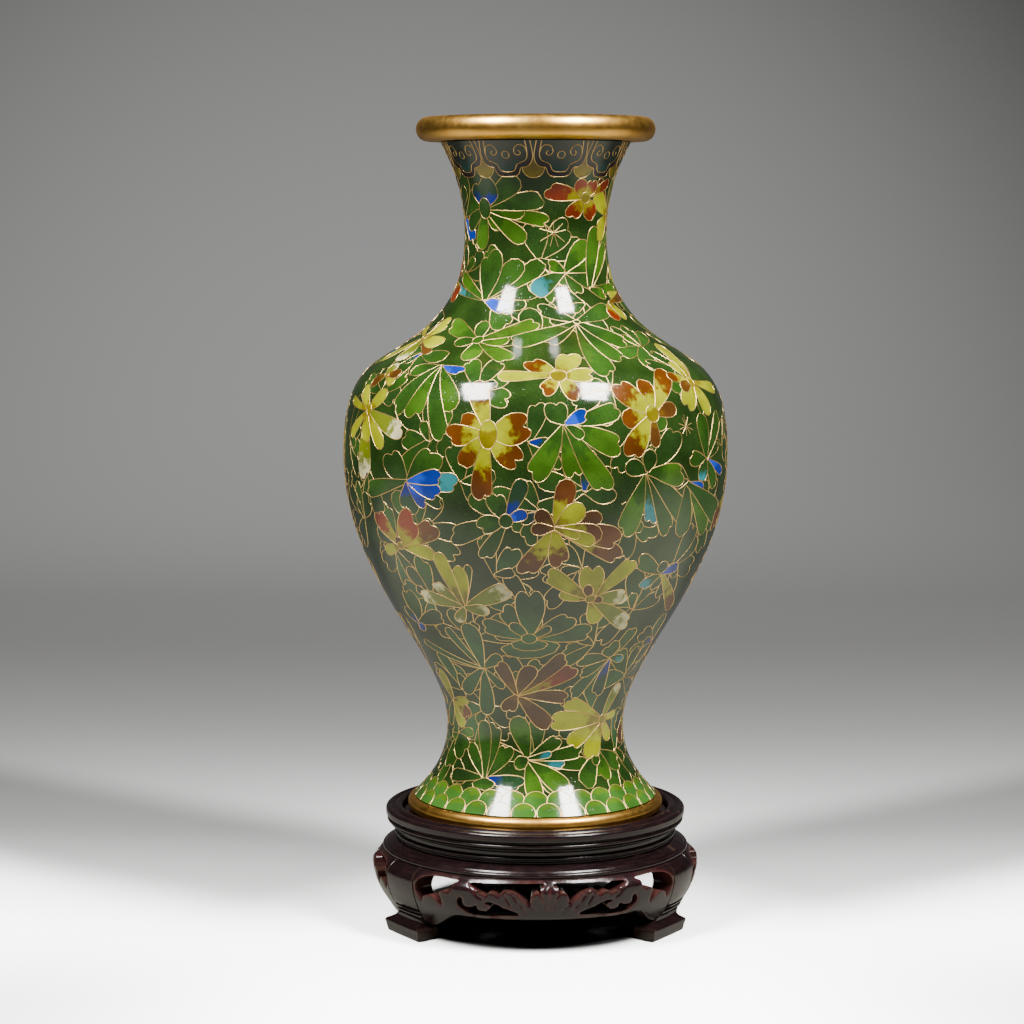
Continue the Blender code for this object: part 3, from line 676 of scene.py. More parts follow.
def draw_pattern(wall):
    """The whole pattern: sprays, then flowers, then the borders over them."""
    rng = random.Random(SEED)
    drawing = Drawing(wall)
    for number, (azimuth, height, enamel, petals) in enumerate(under_leaves(rng)):
        rank = LEAF_RANK + 0.05 * (number % 20)
        drawing.flower(azimuth, height, enamel, petals, None, rank, rng)
    for group in (FRONT_FLOWERS, back_flowers(rng)):
        for number, (azimuth, height, enamel, petals, *heart) in enumerate(group):
            rank = BRIGHT_RANK if enamel in BRIGHT_ENAMELS else GREEN_RANK
            rank += 0.2 * (number % 40) / 40.0
            size = heart[0] if heart else None
            drawing.flower(azimuth, height, enamel, petals, size, rank, rng)
    for spark in SPARKS:
        drawing.spark(*spark, rng)
    for curl in CURLS:
        drawing.curl(*curl)
    draw_borders(drawing)
    return drawing


# ---------------------------------------------------------------- the partition

def inside(points, loop):
    """Which points lie inside a closed loop."""
    x, y = points[:, 0], points[:, 1]
    hit = np.zeros(len(points), dtype=bool)
    for (x0, y0), (x1, y1) in zip(loop, np.roll(loop, -1, axis=0)):
        if y0 == y1:
            continue
        crosses = (y0 > y) != (y1 > y)
        hit ^= crosses & (x < (x1 - x0) * (y - y0) / (y1 - y0) + x0)
    return hit


def grid_points(wall):
    """Rows of points over the unrolled wall, about CELL apart on the vase itself."""
    rows = int(math.ceil(wall.length / CELL))
    points = []
    for row in range(rows + 1):
        along = wall.length * row / rows
        count = int(math.ceil(math.tau * float(wall.radius(along)) / CELL))
        shift = 0.5 * (row % 2)
        turns = [-math.pi + math.tau * (i + shift) / count for i in range(count)]
        turns = [turn for turn in turns if turn > -math.pi + 0.01] + [-math.pi, math.pi]
        points += [(turn, along) for turn in turns]
    return points


def labels_at(places, copies):
    """Which cell lies on top at each place, and how far that copy of the cell is shifted."""
    label = np.full(len(places), -1)
    shift = np.zeros(len(places))
    for _, index, moved, loop in sorted(copies, key=lambda item: item[0]):
        low, high = loop.min(axis=0), loop.max(axis=0)
        near = np.where(((places >= low) & (places <= high)).all(axis=1))[0]
        if not len(near):
            continue
        found = near[inside(places[near], loop)]
        label[found] = index
        shift[found] = moved
    return label, shift


def cell_copies(drawing):
    """The cells that meet the unrolled wall, some of them across the seam at the back."""
    copies = []
    for index, cell in enumerate(drawing.cells):
        for moved in (-math.tau, 0.0, math.tau):
            loop = cell["loop"] + np.array([moved, 0.0])
            if loop[:, 0].max() > -math.pi and loop[:, 0].min() < math.pi:
                copies.append((cell["rank"], index, moved, loop))
    return copies


def partition(drawing, copies):
    """Triangles over the whole wall that follow every outline, and the cell each lies in."""
    wall = drawing.wall
    flat, edges = [], []
    for *_, loop in copies:
        first = len(flat)
        flat += [Vector((turn * FLAT_RADIUS, along)) for turn, along in loop]
        edges += [(first + i, first + (i + 1) % len(loop)) for i in range(len(loop))]
    corners = [(-math.pi, 0.0), (math.pi, 0.0), (math.pi, wall.length), (-math.pi, wall.length)]
    first = len(flat)
    flat += [Vector((turn * FLAT_RADIUS, along)) for turn, along in corners]
    edges += [(first + i, first + (i + 1) % 4) for i in range(4)]
    flat += [Vector((turn * FLAT_RADIUS, along)) for turn, along in grid_points(wall)]
    verts, _, faces, *_ = delaunay_2d_cdt(flat, edges, [], 0, 1e-5)
    points = np.array([(v.x / FLAT_RADIUS, v.y) for v in verts])
    faces = np.array([tuple(face) for face in faces])
    middles = points[faces].mean(axis=1)
    keep = (np.abs(middles[:, 0]) < math.pi) & (middles[:, 1] > 0.0) & (middles[:, 1] < wall.length)
    faces, middles = faces[keep], middles[keep]
    points[:, 0] = np.clip(points[:, 0], -math.pi, math.pi)
    points[:, 1] = np.clip(points[:, 1], 0.0, wall.length)
    label, shift = labels_at(middles, copies)
    return points, faces, label, shift


def wire_chains(points, faces, label):
    """Lines between triangles of different cells, joined end to end."""
    sides = np.sort(np.concatenate([faces[:, [0, 1]], faces[:, [1, 2]], faces[:, [2, 0]]]), axis=1)
    owner = np.tile(np.arange(len(faces)), 3)
    order = np.lexsort((sides[:, 1], sides[:, 0]))
    sides, owner = sides[order], owner[order]
    twin = np.where((sides[1:] == sides[:-1]).all(axis=1))[0]
    split = twin[label[owner[twin]] != label[owner[twin + 1]]]
    links = {}
    for a, b in sides[split]:
        links.setdefault(int(a), []).append(int(b))
        links.setdefault(int(b), []).append(int(a))
    used = set()
    chains = []

    def walk(start, then):
        """Follow a line to the next place where lines meet or end, or back to its start."""
        chain = [start, then]
        used.add((min(start, then), max(start, then)))
        while len(links[chain[-1]]) == 2 and chain[-1] != start:
            a, b = links[chain[-1]]
            onward = a if b == chain[-2] else b
            key = (min(chain[-1], onward), max(chain[-1], onward))
            if key in used:
                break
            used.add(key)
            chain.append(onward)
        return chain

    for ends_only in (True, False):
        for start in sorted(links):
            if ends_only and len(links[start]) == 2:
                continue
            for then in links[start]:
                if (min(start, then), max(start, then)) not in used:
                    chains.append(walk(start, then))
    return [points[chain] for chain in chains]


def thinned(line):
    """Drop points that crowd the one before them, but keep both ends."""
    kept = [line[0]]
    for point in line[1:-1]:
        gap = math.hypot((point[0] - kept[-1][0]) * FLAT_RADIUS, point[1] - kept[-1][1])
        if gap > WIRE_STEP:
            kept.append(point)
    kept.append(line[-1])
    return np.array(kept)


def ribbon(wall, line, rng, verts, faces):
    """Add one gilt wire along a line on the wall: a low dome, half sunk in the enamel."""
    line = thinned(line)
    if len(line) < 2:
        return
    points, normals = wall.place(line[:, 0], line[:, 1])
    ahead = np.gradient(points, axis=0)
    ahead /= np.maximum(np.linalg.norm(ahead, axis=1), 1e-9)[:, None]
    side = np.cross(ahead, normals)
    side /= np.maximum(np.linalg.norm(side, axis=1), 1e-9)[:, None]
    width = WIRE_WIDTH * rng.uniform(*WIRE_SPREAD) * MM
    rise = WIRE_RISE * MM
    first = len(verts)
    for point, normal, across in zip(points, normals, side):
        verts += [tuple(point + across * width * x + normal * rise * y) for x, y in WIRE_SECTION]
    size = len(WIRE_SECTION)
    for i in range(len(line) - 1):
        a = first + i * size
        for k in range(size - 1):
            faces.append((a + k, a + k + 1, a + size + k + 1, a + size + k))


# ---------------------------------------------------------------- pieces

def smooth_object(name, verts, faces, material):
    """A smooth-shaded mesh of one material, in metres, put into the scene."""
    mesh = bpy.data.meshes.new(name)
    mesh.from_pydata(verts, [], faces)
    mesh.materials.append(material)
    mesh.shade_smooth()
    made = bpy.data.objects.new(name, mesh)
    bpy.context.scene.collection.objects.link(made)
    return made


def new_piece(name, verts, faces, material, body):
    """A visual piece that rides on a body."""
    piece = smooth_object(name, verts, faces, material)
    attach(piece, body)
    return piece


def zone_of(height):
    """Number of the zone a height lies in."""
    for number, (_, top) in enumerate(ZONES):
        if height < top:
            return number
    return len(ZONES) - 1


def make_enamel(drawing, points, faces, label, shift, material):
    """Patches of enamel, one piece for each zone, coloured cell by cell."""
    wall = drawing.wall
    places, normals = wall.place(points[:, 0], points[:, 1])
    zones = np.array([zone_of(wall.height(along)) for along in points[faces][:, :, 1].mean(axis=1)])
    base = np.zeros((len(faces), 3, 4))
    tip = np.zeros((len(faces), 3, 4))
    for number, cell in enumerate([None] + drawing.cells):
        mine = np.where(label == number - 1)[0]
        if not len(mine):
            continue
        low, high, turning, speckle = ENAMELS[cell["enamel"] if cell else "ground"]
        share = np.full((len(mine), 3), 0.5)
        if cell:
            turn0, start = cell["origin"]
            corner = points[faces[mine]]
            right = (corner[:, :, 0] - turn0 - shift[mine][:, None]) * wall.radius(corner[:, :, 1])
            up = corner[:, :, 1] - start
            along = up * math.cos(cell["clock"]) + right * math.sin(cell["clock"])
            share = np.clip(0.5 + (along / cell["reach"] - turning), 0.0, 1.0)
        base[mine, :, :3], base[mine, :, 3] = low, share
        tip[mine, :, :3], tip[mine, :, 3] = high, speckle
    for number, (name, _) in enumerate(ZONES):
        mine = np.where(zones == number)[0]
        used, local = np.unique(faces[mine], return_inverse=True)
        local = local.reshape(-1, 3)
        corners = places[used].tolist()
        piece = new_piece(f"enamel_{name}", corners, local.tolist(), material, "vase")
        mesh = piece.data
        for label_name, values in (("base_colour", base), ("tip_colour", tip)):
            layer = mesh.color_attributes.new(label_name, "FLOAT_COLOR", "CORNER")
            layer.data.foreach_set("color", values[mine].reshape(-1).astype(np.float32))
        mesh.normals_split_custom_set_from_vertices(normals[used].tolist())
    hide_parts("outer_enamel")


def loose_stretches(drawing, copies):
    """Stretches of the loose wires that lie on the cells they belong to."""
    clouds = [i for i, cell in enumerate(drawing.cells) if cell["enamel"] in ("cloud", "band")]
    wanted = {"ground": [-1], "cloud": clouds}
    stretches = []
    for points, where in drawing.loose:
        line = np.array(points)
        if where is None:
            stretches.append(line)
            continue
        places = np.stack([(line[:, 0] + math.pi) % math.tau - math.pi, line[:, 1]], axis=1)
        label, _ = labels_at(places, copies)
        keep = np.isin(label, wanted[where])
        run = []
        for point, kept in zip(line, keep):
            if kept:
                run.append(point)
            elif run:
                stretches.append(np.array(run))
                run = []
        if run:
            stretches.append(np.array(run))
    return [line for line in stretches if len(line) > 1]


def make_wires(drawing, lines, material):
    """Gilt wires, one piece for each zone."""
    rng = random.Random(SEED + 1)
    built = [([], []) for _ in ZONES]
    for line in lines:
        number = zone_of(float(drawing.wall.height(line[:, 1].mean())))
        ribbon(drawing.wall, line, rng, *built[number])
    for (name, _), (verts, quads) in zip(ZONES, built):
        new_piece(f"wires_{name}", verts, quads, material, "vase")


# ---------------------------------------------------------------- turned pieces

def softened(loop, cut, count=4):
    """Round every corner of a closed loop of (radius, height), keeping the flats flat."""
    result = []
    for i, corner in enumerate(loop):
        here = Vector(corner)
        before, after = Vector(loop[i - 1]) - here, Vector(loop[(i + 1) % len(loop)]) - here
        reach = min(cut, 0.42 * before.length, 0.42 * after.length)
        start, end = here + before.normalized() * reach, here + after.normalized() * reach
        result.append(tuple(start + before.normalized() * 0.15 * reach))
        for k in range(count + 1):
            t = k / count
            result.append(tuple(start * (1 - t) ** 2 + here * 2 * t * (1 - t) + end * t ** 2))
        result.append(tuple(end + after.normalized() * 0.15 * reach))
    return result


def turned_piece(name, loop, material, body, node):
    """Turn a closed loop of (radius, height) in millimetres, which runs down its outer side."""
    verts, faces = [], []
    count = len(loop)
    for step in range(TURN_STEPS):
        turn = math.tau * step / TURN_STEPS
        verts += [(r * math.sin(turn) * MM, -r * math.cos(turn) * MM, z * MM) for r, z in loop]
        onward = (step + 1) % TURN_STEPS
        for i in range(count):
            j = (i + 1) % count
            faces.append((step * count + j, onward * count + j, onward * count + i, step * count + i))
    piece = new_piece(name, verts, faces, material, body)
    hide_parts(node)


def edge_of(node):
    """Outer radius, lowest and highest height of a node, in millimetres."""
    low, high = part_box(node)
    return high[0] / MM, low[2] / MM, high[2] / MM


def make_metal_rings(wall, gilt):
    """The rolled ring of the mouth and the band around the foot."""
    radius, bottom, top = edge_of("lip_ring")
    throat = float(wall.radius(wall.length)) - MOUTH_WALL
    middle, half = 0.5 * (top + bottom), 0.5 * (top - bottom)
    lip = [(throat + 1.2, top - 2.2), (radius - 4.6, top - 0.1)]
    for i in range(15):
        turn = math.radians(84.0 - 12.0 * i)
        lip.append((radius - 0.92 * half + 0.92 * half * math.cos(turn), middle + half * math.sin(turn)))
    lip += [(throat + 1.4, bottom), (throat, bottom + 1.2)]
    turned_piece("mouth_ring", softened(lip, 0.6, 3), gilt, "vase", "lip_ring")

    radius, bottom, top = edge_of("foot_ring")
    middle, half = 0.5 * (top + bottom), 0.5 * (top - bottom)
    foot = [(FOOT_BORE, top)]
    for i in range(13):
        turn = math.radians(84.0 - 14.0 * i)
        out = radius - FOOT_ROUND + FOOT_ROUND * math.cos(turn)
        foot.append((out, middle + half * math.sin(turn)))
    foot += [(FOOT_BORE + 0.8, bottom), (FOOT_BORE, bottom + 0.8)]
    turned_piece("foot_band", softened(foot, 1.2), gilt, "vase", "foot_ring")


def make_inner_enamel(wall, material):
    """The thin skin of enamel inside the vase."""
    loop = []
    along = np.linspace(2.0, wall.length - 0.6, 90)
    for lift, order in ((-SKIN_GAP, -1), (-SKIN_GAP - SKIN_THICKNESS, 1)):
        points, _ = wall.place(np.zeros(len(along)), along[::order], lift)
        loop += [(-point[1] / MM, point[2] / MM) for point in points]
    turned_piece("inner_skin", loop, material, "vase", "inner_enamel")


def make_stand_rings(wood):
    """The three mouldings of the stand: round the tray, at its waist and above the panels."""
    radius, bottom, top = edge_of("tray_rim")
    recess = TRAY_RECESS
    rim = [
        (recess + 0.6, top - 0.1), (recess + 1.4, top), (recess + 2.2, top - 0.5),
        (radius - 2.3, top - 1.1), (radius - 1.6, top - 0.5), (radius - 0.7, top - 0.5),
        (radius, top - 1.1), (radius, top - 2.9), (radius - 1.3, top - 3.4),
        (radius - 0.4, top - 4.0), (radius - 0.4, top - 4.6), (radius - 1.6, top - 4.9),
        (radius - 1.1, top - 5.3), (radius - 1.7, bottom), (recess, bottom), (recess, top - 0.6),
    ]
    turned_piece("tray_moulding", softened(rim, 0.45, 3), wood, "stand", "tray_rim")

    radius, bottom, top = edge_of("waist_ring")
    waist = [
        (radius - 0.7, top), (radius - 0.9, top - 1.4), (radius, top - 1.7), (radius, top - 2.2),
        (radius - 0.9, top - 2.5), (radius - 0.5, bottom), (radius - WAIST_DEPTH, bottom),
        (radius - WAIST_DEPTH, top),
    ]
    turned_piece("waist_moulding", softened(waist, 0.35, 3), wood, "stand", "waist_ring")

    radius, bottom, top = edge_of("shoulder_board")
    board = [
        (radius - 3.6, top), (radius - 1.2, top - 1.3), (radius - 0.9, top - 1.75),
        (radius - 0.25, top - 1.9), (radius, top - 2.5), (radius - 0.3, bottom),
        (BOARD_BORE, bottom), (BOARD_BORE, top),
    ]
    turned_piece("shoulder_moulding", softened(board, 0.35, 3), wood, "stand", "shoulder_board")


# ---------------------------------------------------------------- carved panels and legs

PANEL_CENTRE = 4.5           # degrees, the middle of the front panel
PANEL_HALF = 52.0
PANEL_TOP = 21.9
PANEL_BACK = 41.5            # radius of a panel's flat inner side
ARC_RADIUS = 46.0            # the panels are drawn as unrolled from this radius
CARVE_CELL = 0.5             # grid of the carved panels

# Outside of a panel: radius, height
BULGE = [
    (43.6, 4.6), (44.5, 7.0), (46.4, 10.4), (47.9, 14.2), (48.5, 17.6), (47.9, 19.8), (45.9, 21.5),
    (45.2, 22.2),
]

# Openings of half a panel (angle from its middle, height), and the carved lines of the leaf
ROUND_OPENING = [
    (51.0, 16.4), (50.0, 18.6), (47.8, 20.1), (44.5, 20.7), (40.0, 20.9), (36.0, 20.8), (32.6, 20.6),
    (34.4, 19.7), (34.8, 18.2), (36.4, 17.3), (38.0, 17.6), (39.8, 16.6), (39.2, 14.8), (39.4, 12.8),
    (41.5, 14.3), (44.0, 15.5), (47.3, 14.6), (48.4, 13.2), (50.0, 14.4),
]
SCROLL_OPENING = [
    (28.3, 20.2), (24.0, 20.6), (16.0, 20.8), (8.0, 20.9), (1.8, 20.9), (2.9, 19.9), (3.1, 18.5),
    (4.4, 18.9), (5.9, 18.1), (6.6, 16.7), (7.0, 14.9), (9.2, 16.6), (11.6, 18.2), (14.5, 18.9),
    (16.6, 18.6), (17.4, 17.3), (19.0, 18.2), (20.9, 18.4), (21.6, 17.4), (23.5, 17.9),
]
CRESCENT_OPENING = [
    (32.8, 14.8), (31.6, 16.3), (30.6, 15.6), (30.4, 13.9), (28.4, 13.4), (25.6, 14.1), (24.9, 12.9),
    (22.6, 12.6), (20.6, 13.6), (20.8, 14.6), (22.4, 15.3), (20.0, 15.5), (16.0, 14.0), (10.5, 12.0),
    (16.0, 11.5), (24.5, 11.1), (29.5, 11.7), (32.0, 13.1),
]
LEAF_VEINS = [
    [(0.0, 13.6), (0.0, 16.0), (0.1, 19.4)],
    [(1.4, 14.0), (2.2, 16.0), (3.0, 18.2)], [(-1.4, 14.0), (-2.2, 16.0), (-3.0, 18.2)],
    [(4.6, 13.0), (6.0, 14.2), (6.9, 15.2)], [(-4.6, 13.0), (-6.0, 14.2), (-6.9, 15.2)],
    [(8.4, 13.0), (10.6, 15.4), (12.2, 17.8)], [(-8.4, 13.0), (-10.6, 15.4), (-12.2, 17.8)],
    [(13.5, 14.6), (14.6, 16.4), (15.2, 18.2)], [(-13.5, 14.6), (-14.6, 16.4), (-15.2, 18.2)],
    [(26.8, 19.6), (25.4, 17.6), (23.6, 16.6)], [(-26.8, 19.6), (-25.4, 17.6), (-23.6, 16.6)],
]


def apron_edge(angle):
    """Height of a panel's lower edge, which arches down towards the legs."""
    share = min(max((abs(angle) - 33.0) / 15.0, 0.0), 1.0)
    fall = share * share * (3.0 - 2.0 * share)
    return 10.3 - 4.9 * fall


def line_distance(points, line, closed):
    """Distance from each point to a line of (x, y) points."""
    line = np.array(line)
    ends = np.roll(line, -1, axis=0) if closed else line[1:]
    starts = line if closed else line[:-1]
    best = np.full(len(points), 1e9)
    for start, end in zip(starts, ends):
        run = end - start
        size = max(float(run @ run), 1e-12)
        share = np.clip(((points - start) @ run) / size, 0.0, 1.0)
        gap = points - (start + share[:, None] * run)
        best = np.minimum(best, np.hypot(gap[:, 0], gap[:, 1]))
    return best


def flat_line(points, steps=4, closed=True):
    """A smooth carved line, from (angle, height) to flat millimetres."""
    scale = math.radians(1.0) * ARC_RADIUS
    return [(angle * scale, height) for angle, height in smooth_line(points, steps, closed)]


def carved_sheet(border, openings, veins):
    """Front and back of a carved wall, as (verts, faces, wear and painted edge highlight of each vertex).
    """
    border = np.array(border)
    flat = [Vector(point) for point in border]
    edges = [(i, (i + 1) % len(border)) for i in range(len(border))]
    for opening in openings:
        first = len(flat)
        flat += [Vector(point) for point in opening]
        edges += [(first + i, first + (i + 1) % len(opening)) for i in range(len(opening))]
    low, high = border.min(axis=0), border.max(axis=0)
    columns, rows = (int(n) for n in np.ceil((high - low) / CARVE_CELL))
    grid = np.array([
        (low[0] + (i + 0.5 * (j % 2)) * CARVE_CELL, low[1] + j * CARVE_CELL)
        for j in range(rows + 1) for i in range(columns + 1)
    ])
    lines = [border] + [np.array(opening) for opening in openings]
    clear = np.min([line_distance(grid, line, True) for line in lines], axis=0) > 0.25
    grid = grid[clear & inside(grid, border)]
    flat += [Vector(point) for point in grid]
    verts, _, faces, *_ = delaunay_2d_cdt(flat, edges, [], 0, 1e-5)
    points = np.array([(v.x, v.y) for v in verts])
    faces = np.array([tuple(face) for face in faces])
    middles = points[faces].mean(axis=1)
    keep = inside(middles, border)
    for opening in openings:
        keep &= ~inside(middles, np.array(opening))
    faces = faces[keep]
    used, faces = np.unique(faces, return_inverse=True)
    faces = faces.reshape(-1, 3)
    points = points[used]

    rim = np.min([line_distance(points, opening, True) for opening in openings], axis=0) if openings else \
        np.full(len(points), 9.0)
    foot = points[:, 1] - np.interp(points[:, 0] / (math.radians(1.0) * ARC_RADIUS),
                                    np.arange(-60, 61), [apron_edge(a) for a in range(-60, 61)])
    near = np.minimum(rim, np.maximum(foot, 0.0))
    bulge_z = [z for _, z in BULGE]
    smooth_bulge = natural_spline(np.array(bulge_z), np.array([r for r, _ in BULGE]))
    radius = smooth_bulge(points[:, 1])
    relief = -0.28 * np.clip(1.0 - near / 0.55, 0.0, 1.0) ** 2
    # worn wood along the openings and veins, which also stands for a painted reddish highlight on their lit
    # edges
    wear_and_sheen = 0.8 * np.exp(-(rim / 0.7) ** 2)
    for vein in veins:
        cut = np.exp(-(line_distance(points, vein, False) / 0.42) ** 2)
        relief -= 0.55 * cut
        wear_and_sheen = np.maximum(wear_and_sheen, cut)

    angle = points[:, 0] / ARC_RADIUS
    face = radius + relief
    front = np.stack([face * np.sin(angle), -face * np.cos(angle), points[:, 1]], axis=1)
    back = np.stack([PANEL_BACK * np.sin(angle), -PANEL_BACK * np.cos(angle), points[:, 1]], axis=1)
    count = len(points)
    solid = [tuple(face) for face in faces] + [tuple(face[::-1] + count) for face in faces]
    sides = np.concatenate([faces[:, [0, 1]], faces[:, [1, 2]], faces[:, [2, 0]]])
    keys = dict.fromkeys((int(a), int(b)) for a, b in sides)
    rims = [(a, b) for a, b in keys if (b, a) not in keys]
    solid += [(b, a, a + count, b + count) for a, b in rims]
    places = np.concatenate([front, back]) * MM
    return places.tolist(), solid, np.concatenate([wear_and_sheen, wear_and_sheen])


def finish_wood(piece, wear_and_sheen):
    """Store how worn each vertex is, which also carries a painted highlight on the carved edges, and
    sharpen the cut edges.
    """
    layer = piece.data.attributes.new("wear_and_sheen", "FLOAT", "POINT")
    layer.data.foreach_set("value", wear_and_sheen.astype(np.float32))
    piece.data.set_sharp_from_angle(angle=math.radians(48.0))


def make_panels(wood):
    """Three carved panels between the legs, all alike."""
    scale = math.radians(1.0) * ARC_RADIUS
    angles = np.linspace(-PANEL_HALF, PANEL_HALF, 100)
    lower = [(angle * scale, apron_edge(angle)) for angle in angles]
    upper = [(angle * scale, PANEL_TOP) for angle in angles[::-1]]
    openings, veins = [], []
    for shape in (ROUND_OPENING, SCROLL_OPENING, CRESCENT_OPENING):
        for side in (1.0, -1.0):
            openings.append(flat_line([(side * angle, height) for angle, height in shape]))
    for vein in LEAF_VEINS:
        veins.append(flat_line(vein, 4, False))
    verts, faces, wear_and_sheen = carved_sheet(lower + upper, openings, veins)
    for number in range(3):
        piece = new_piece(f"carved_apron_{number + 1}", verts, faces, wood, "stand")
        turn = math.radians(PANEL_CENTRE + 120.0 * number)
        turn_mesh(piece, turn)
        finish_wood(piece, wear_and_sheen)
        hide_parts(f"apron_{number + 1}")


def turn_mesh(piece, turn):
    """Turn a piece's own vertices about the upright axis."""
    cosine, sine = math.cos(turn), math.sin(turn)
    for vertex in piece.data.vertices:
        x, y, _ = vertex.co
        vertex.co.x, vertex.co.y = x * cosine - y * sine, x * sine + y * cosine


LEG_MIDDLES = [(64.5, 58.0), (184.5, 180.0), (304.5, 302.0)]    # azimuth of each leg and of its toe

# A leg from the top down: height, share of the way to the toe, half angle, inner and outer radius
LEG_LEVELS = [
    (21.9, 0.0, 8.0, 41.5, 45.4), (21.5, 0.0, 8.0, 41.5, 45.9), (20.8, 0.0, 8.0, 41.5, 46.9),
    (19.8, 0.0, 8.0, 41.5, 47.9), (18.7, 0.0, 8.0, 41.5, 48.35), (17.6, 0.0, 8.0, 41.5, 48.5),
    (16.4, 0.0, 8.0, 41.5, 48.4), (15.0, 0.0, 8.0, 41.5, 48.1), (13.6, 0.0, 8.0, 41.5, 47.7),
    (12.2, 0.0, 8.0, 41.5, 47.2), (11.0, 0.0, 8.0, 41.5, 46.7), (10.2, 0.0, 8.0, 41.4, 46.3),
    (9.4, 0.0, 8.0, 41.3, 45.9), (9.0, 0.0, 8.0, 41.2, 45.1), (8.6, 0.0, 8.0, 41.2, 45.5),
    (8.2, 0.0, 8.1, 41.1, 45.3), (7.8, 0.05, 8.1, 41.0, 44.5), (7.4, 0.1, 8.2, 41.0, 44.9),
    (7.0, 0.2, 8.2, 40.9, 44.8), (6.6, 0.3, 8.3, 40.8, 44.0), (6.2, 0.4, 8.4, 40.7, 44.3),
    (5.6, 0.6, 8.8, 40.6, 44.2), (5.0, 0.8, 9.3, 40.4, 44.3), (4.5, 0.95, 10.0, 40.2, 45.0),
    (4.0, 1.0, 10.8, 39.9, 46.0), (3.6, 1.0, 11.3, 39.6, 46.6), (3.2, 1.0, 11.5, 39.4, 46.8),
    (2.6, 1.0, 11.4, 39.2, 46.6), (1.6, 1.0, 11.1, 39.1, 46.3), (0.5, 1.0, 10.9, 39.0, 46.1),
    (0.15, 1.0, 10.8, 39.1, 45.9), (0.0, 1.0, 10.5, 39.4, 45.6),
]


def make_legs(wood):
    """Three legs, each turning aside as it runs down into its toe."""
    across = 16
    for number, (middle, toe) in enumerate(LEG_MIDDLES):
        verts, faces = [], []
        for height, share, half, inner, outer in LEG_LEVELS:
            centre = middle + share * (toe - middle)
            flatness = share * 0.85
            ring = []
            for i in range(across + 1):
                offset = -half + 2.0 * half * i / across
                edge = math.cos(math.radians(half)) / math.cos(math.radians(offset))
                radius = outer * (1.0 + flatness * (edge * 1.012 - 1.0))
                ring.append((radius, centre + offset))
            ring += [(inner, centre + half - 2.0 * half * i / across) for i in range(across + 1)]
            verts += [(r * math.sin(math.radians(a)) * MM, -r * math.cos(math.radians(a)) * MM, height * MM)
                      for r, a in ring]
        size = 2 * (across + 1)
        for level in range(len(LEG_LEVELS) - 1):
            for i in range(size):
                j = (i + 1) % size
                a, b = level * size, (level + 1) * size
                faces.append((a + i, b + i, b + j, a + j))
        faces.append(tuple(range(size)))
        last = (len(LEG_LEVELS) - 1) * size
        faces.append(tuple(last + i for i in reversed(range(size))))
        piece = new_piece(f"carved_leg_{number + 1}", verts, faces, wood, "stand")
        finish_wood(piece, np.zeros(len(verts)))
        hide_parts(f"leg_{number + 1}")


# ---------------------------------------------------------------- materials

class Nodes:
    """A short way to write a material's node tree."""

    def __init__(self, name):
        self.material = bpy.data.materials.new(name)
        self.material.use_nodes = True
        self.tree = self.material.node_tree
        self.shader = self.tree.nodes["Principled BSDF"]

    def add(self, kind, settings=None, **inputs):
        node = self.tree.nodes.new(kind)
        for key, value in (settings or {}).items():
            setattr(node, key, value)
        for key, value in inputs.items():
            self.plug(node.inputs[key.replace("_", " ")], value)
        return node

    def plug(self, socket, value):
        if isinstance(value, bpy.types.NodeSocket):
            self.tree.links.new(value, socket)
        elif isinstance(value, tuple) and len(value) == 3 and socket.type == "RGBA":
            socket.default_value = (*value, 1.0)
        else:
            socket.default_value = value

    def math(self, operation, first, second=0.0):
        node = self.tree.nodes.new("ShaderNodeMath")
        node.operation = operation
        self.plug(node.inputs[0], first)
        self.plug(node.inputs[1], second)
        return node.outputs[0]

    def noise(self, scale, detail=2.0, rough=0.5, vector=None):
        node = self.add("ShaderNodeTexNoise", Scale=scale, Detail=detail, Roughness=rough)
        self.plug(node.inputs["Vector"], vector or self.position())
        return node.outputs["Fac"]

    def position(self):
        return self.add("ShaderNodeNewGeometry").outputs["Position"]

    def spread(self, value, low, high, to_low=0.0, to_high=1.0):
        node = self.add("ShaderNodeMapRange", {"interpolation_type": "SMOOTHSTEP"})
        for key, item in (("Value", value), ("From Min", low), ("From Max", high),
                          ("To Min", to_low), ("To Max", to_high)):
            self.plug(node.inputs[key], item)
        return node.outputs["Result"]

    def mix(self, share, first, second, blend="MIX"):
        node = self.tree.nodes.new("ShaderNodeMix")
        node.data_type = "RGBA"
        node.blend_type = blend
        self.plug(node.inputs[0], share)
        self.plug(node.inputs[6], first)
        self.plug(node.inputs[7], second)
        return node.outputs[2]

    def bump(self, height, distance, strength=1.0, under=None):
        node = self.add("ShaderNodeBump", Height=height, Distance=distance, Strength=strength)
        if under is not None:
            self.plug(node.inputs["Normal"], under)
        return node.outputs["Normal"]

    def set(self, **values):
        for key, value in values.items():
            self.plug(self.shader.inputs[key.replace("_", " ")], value)
        return self.material


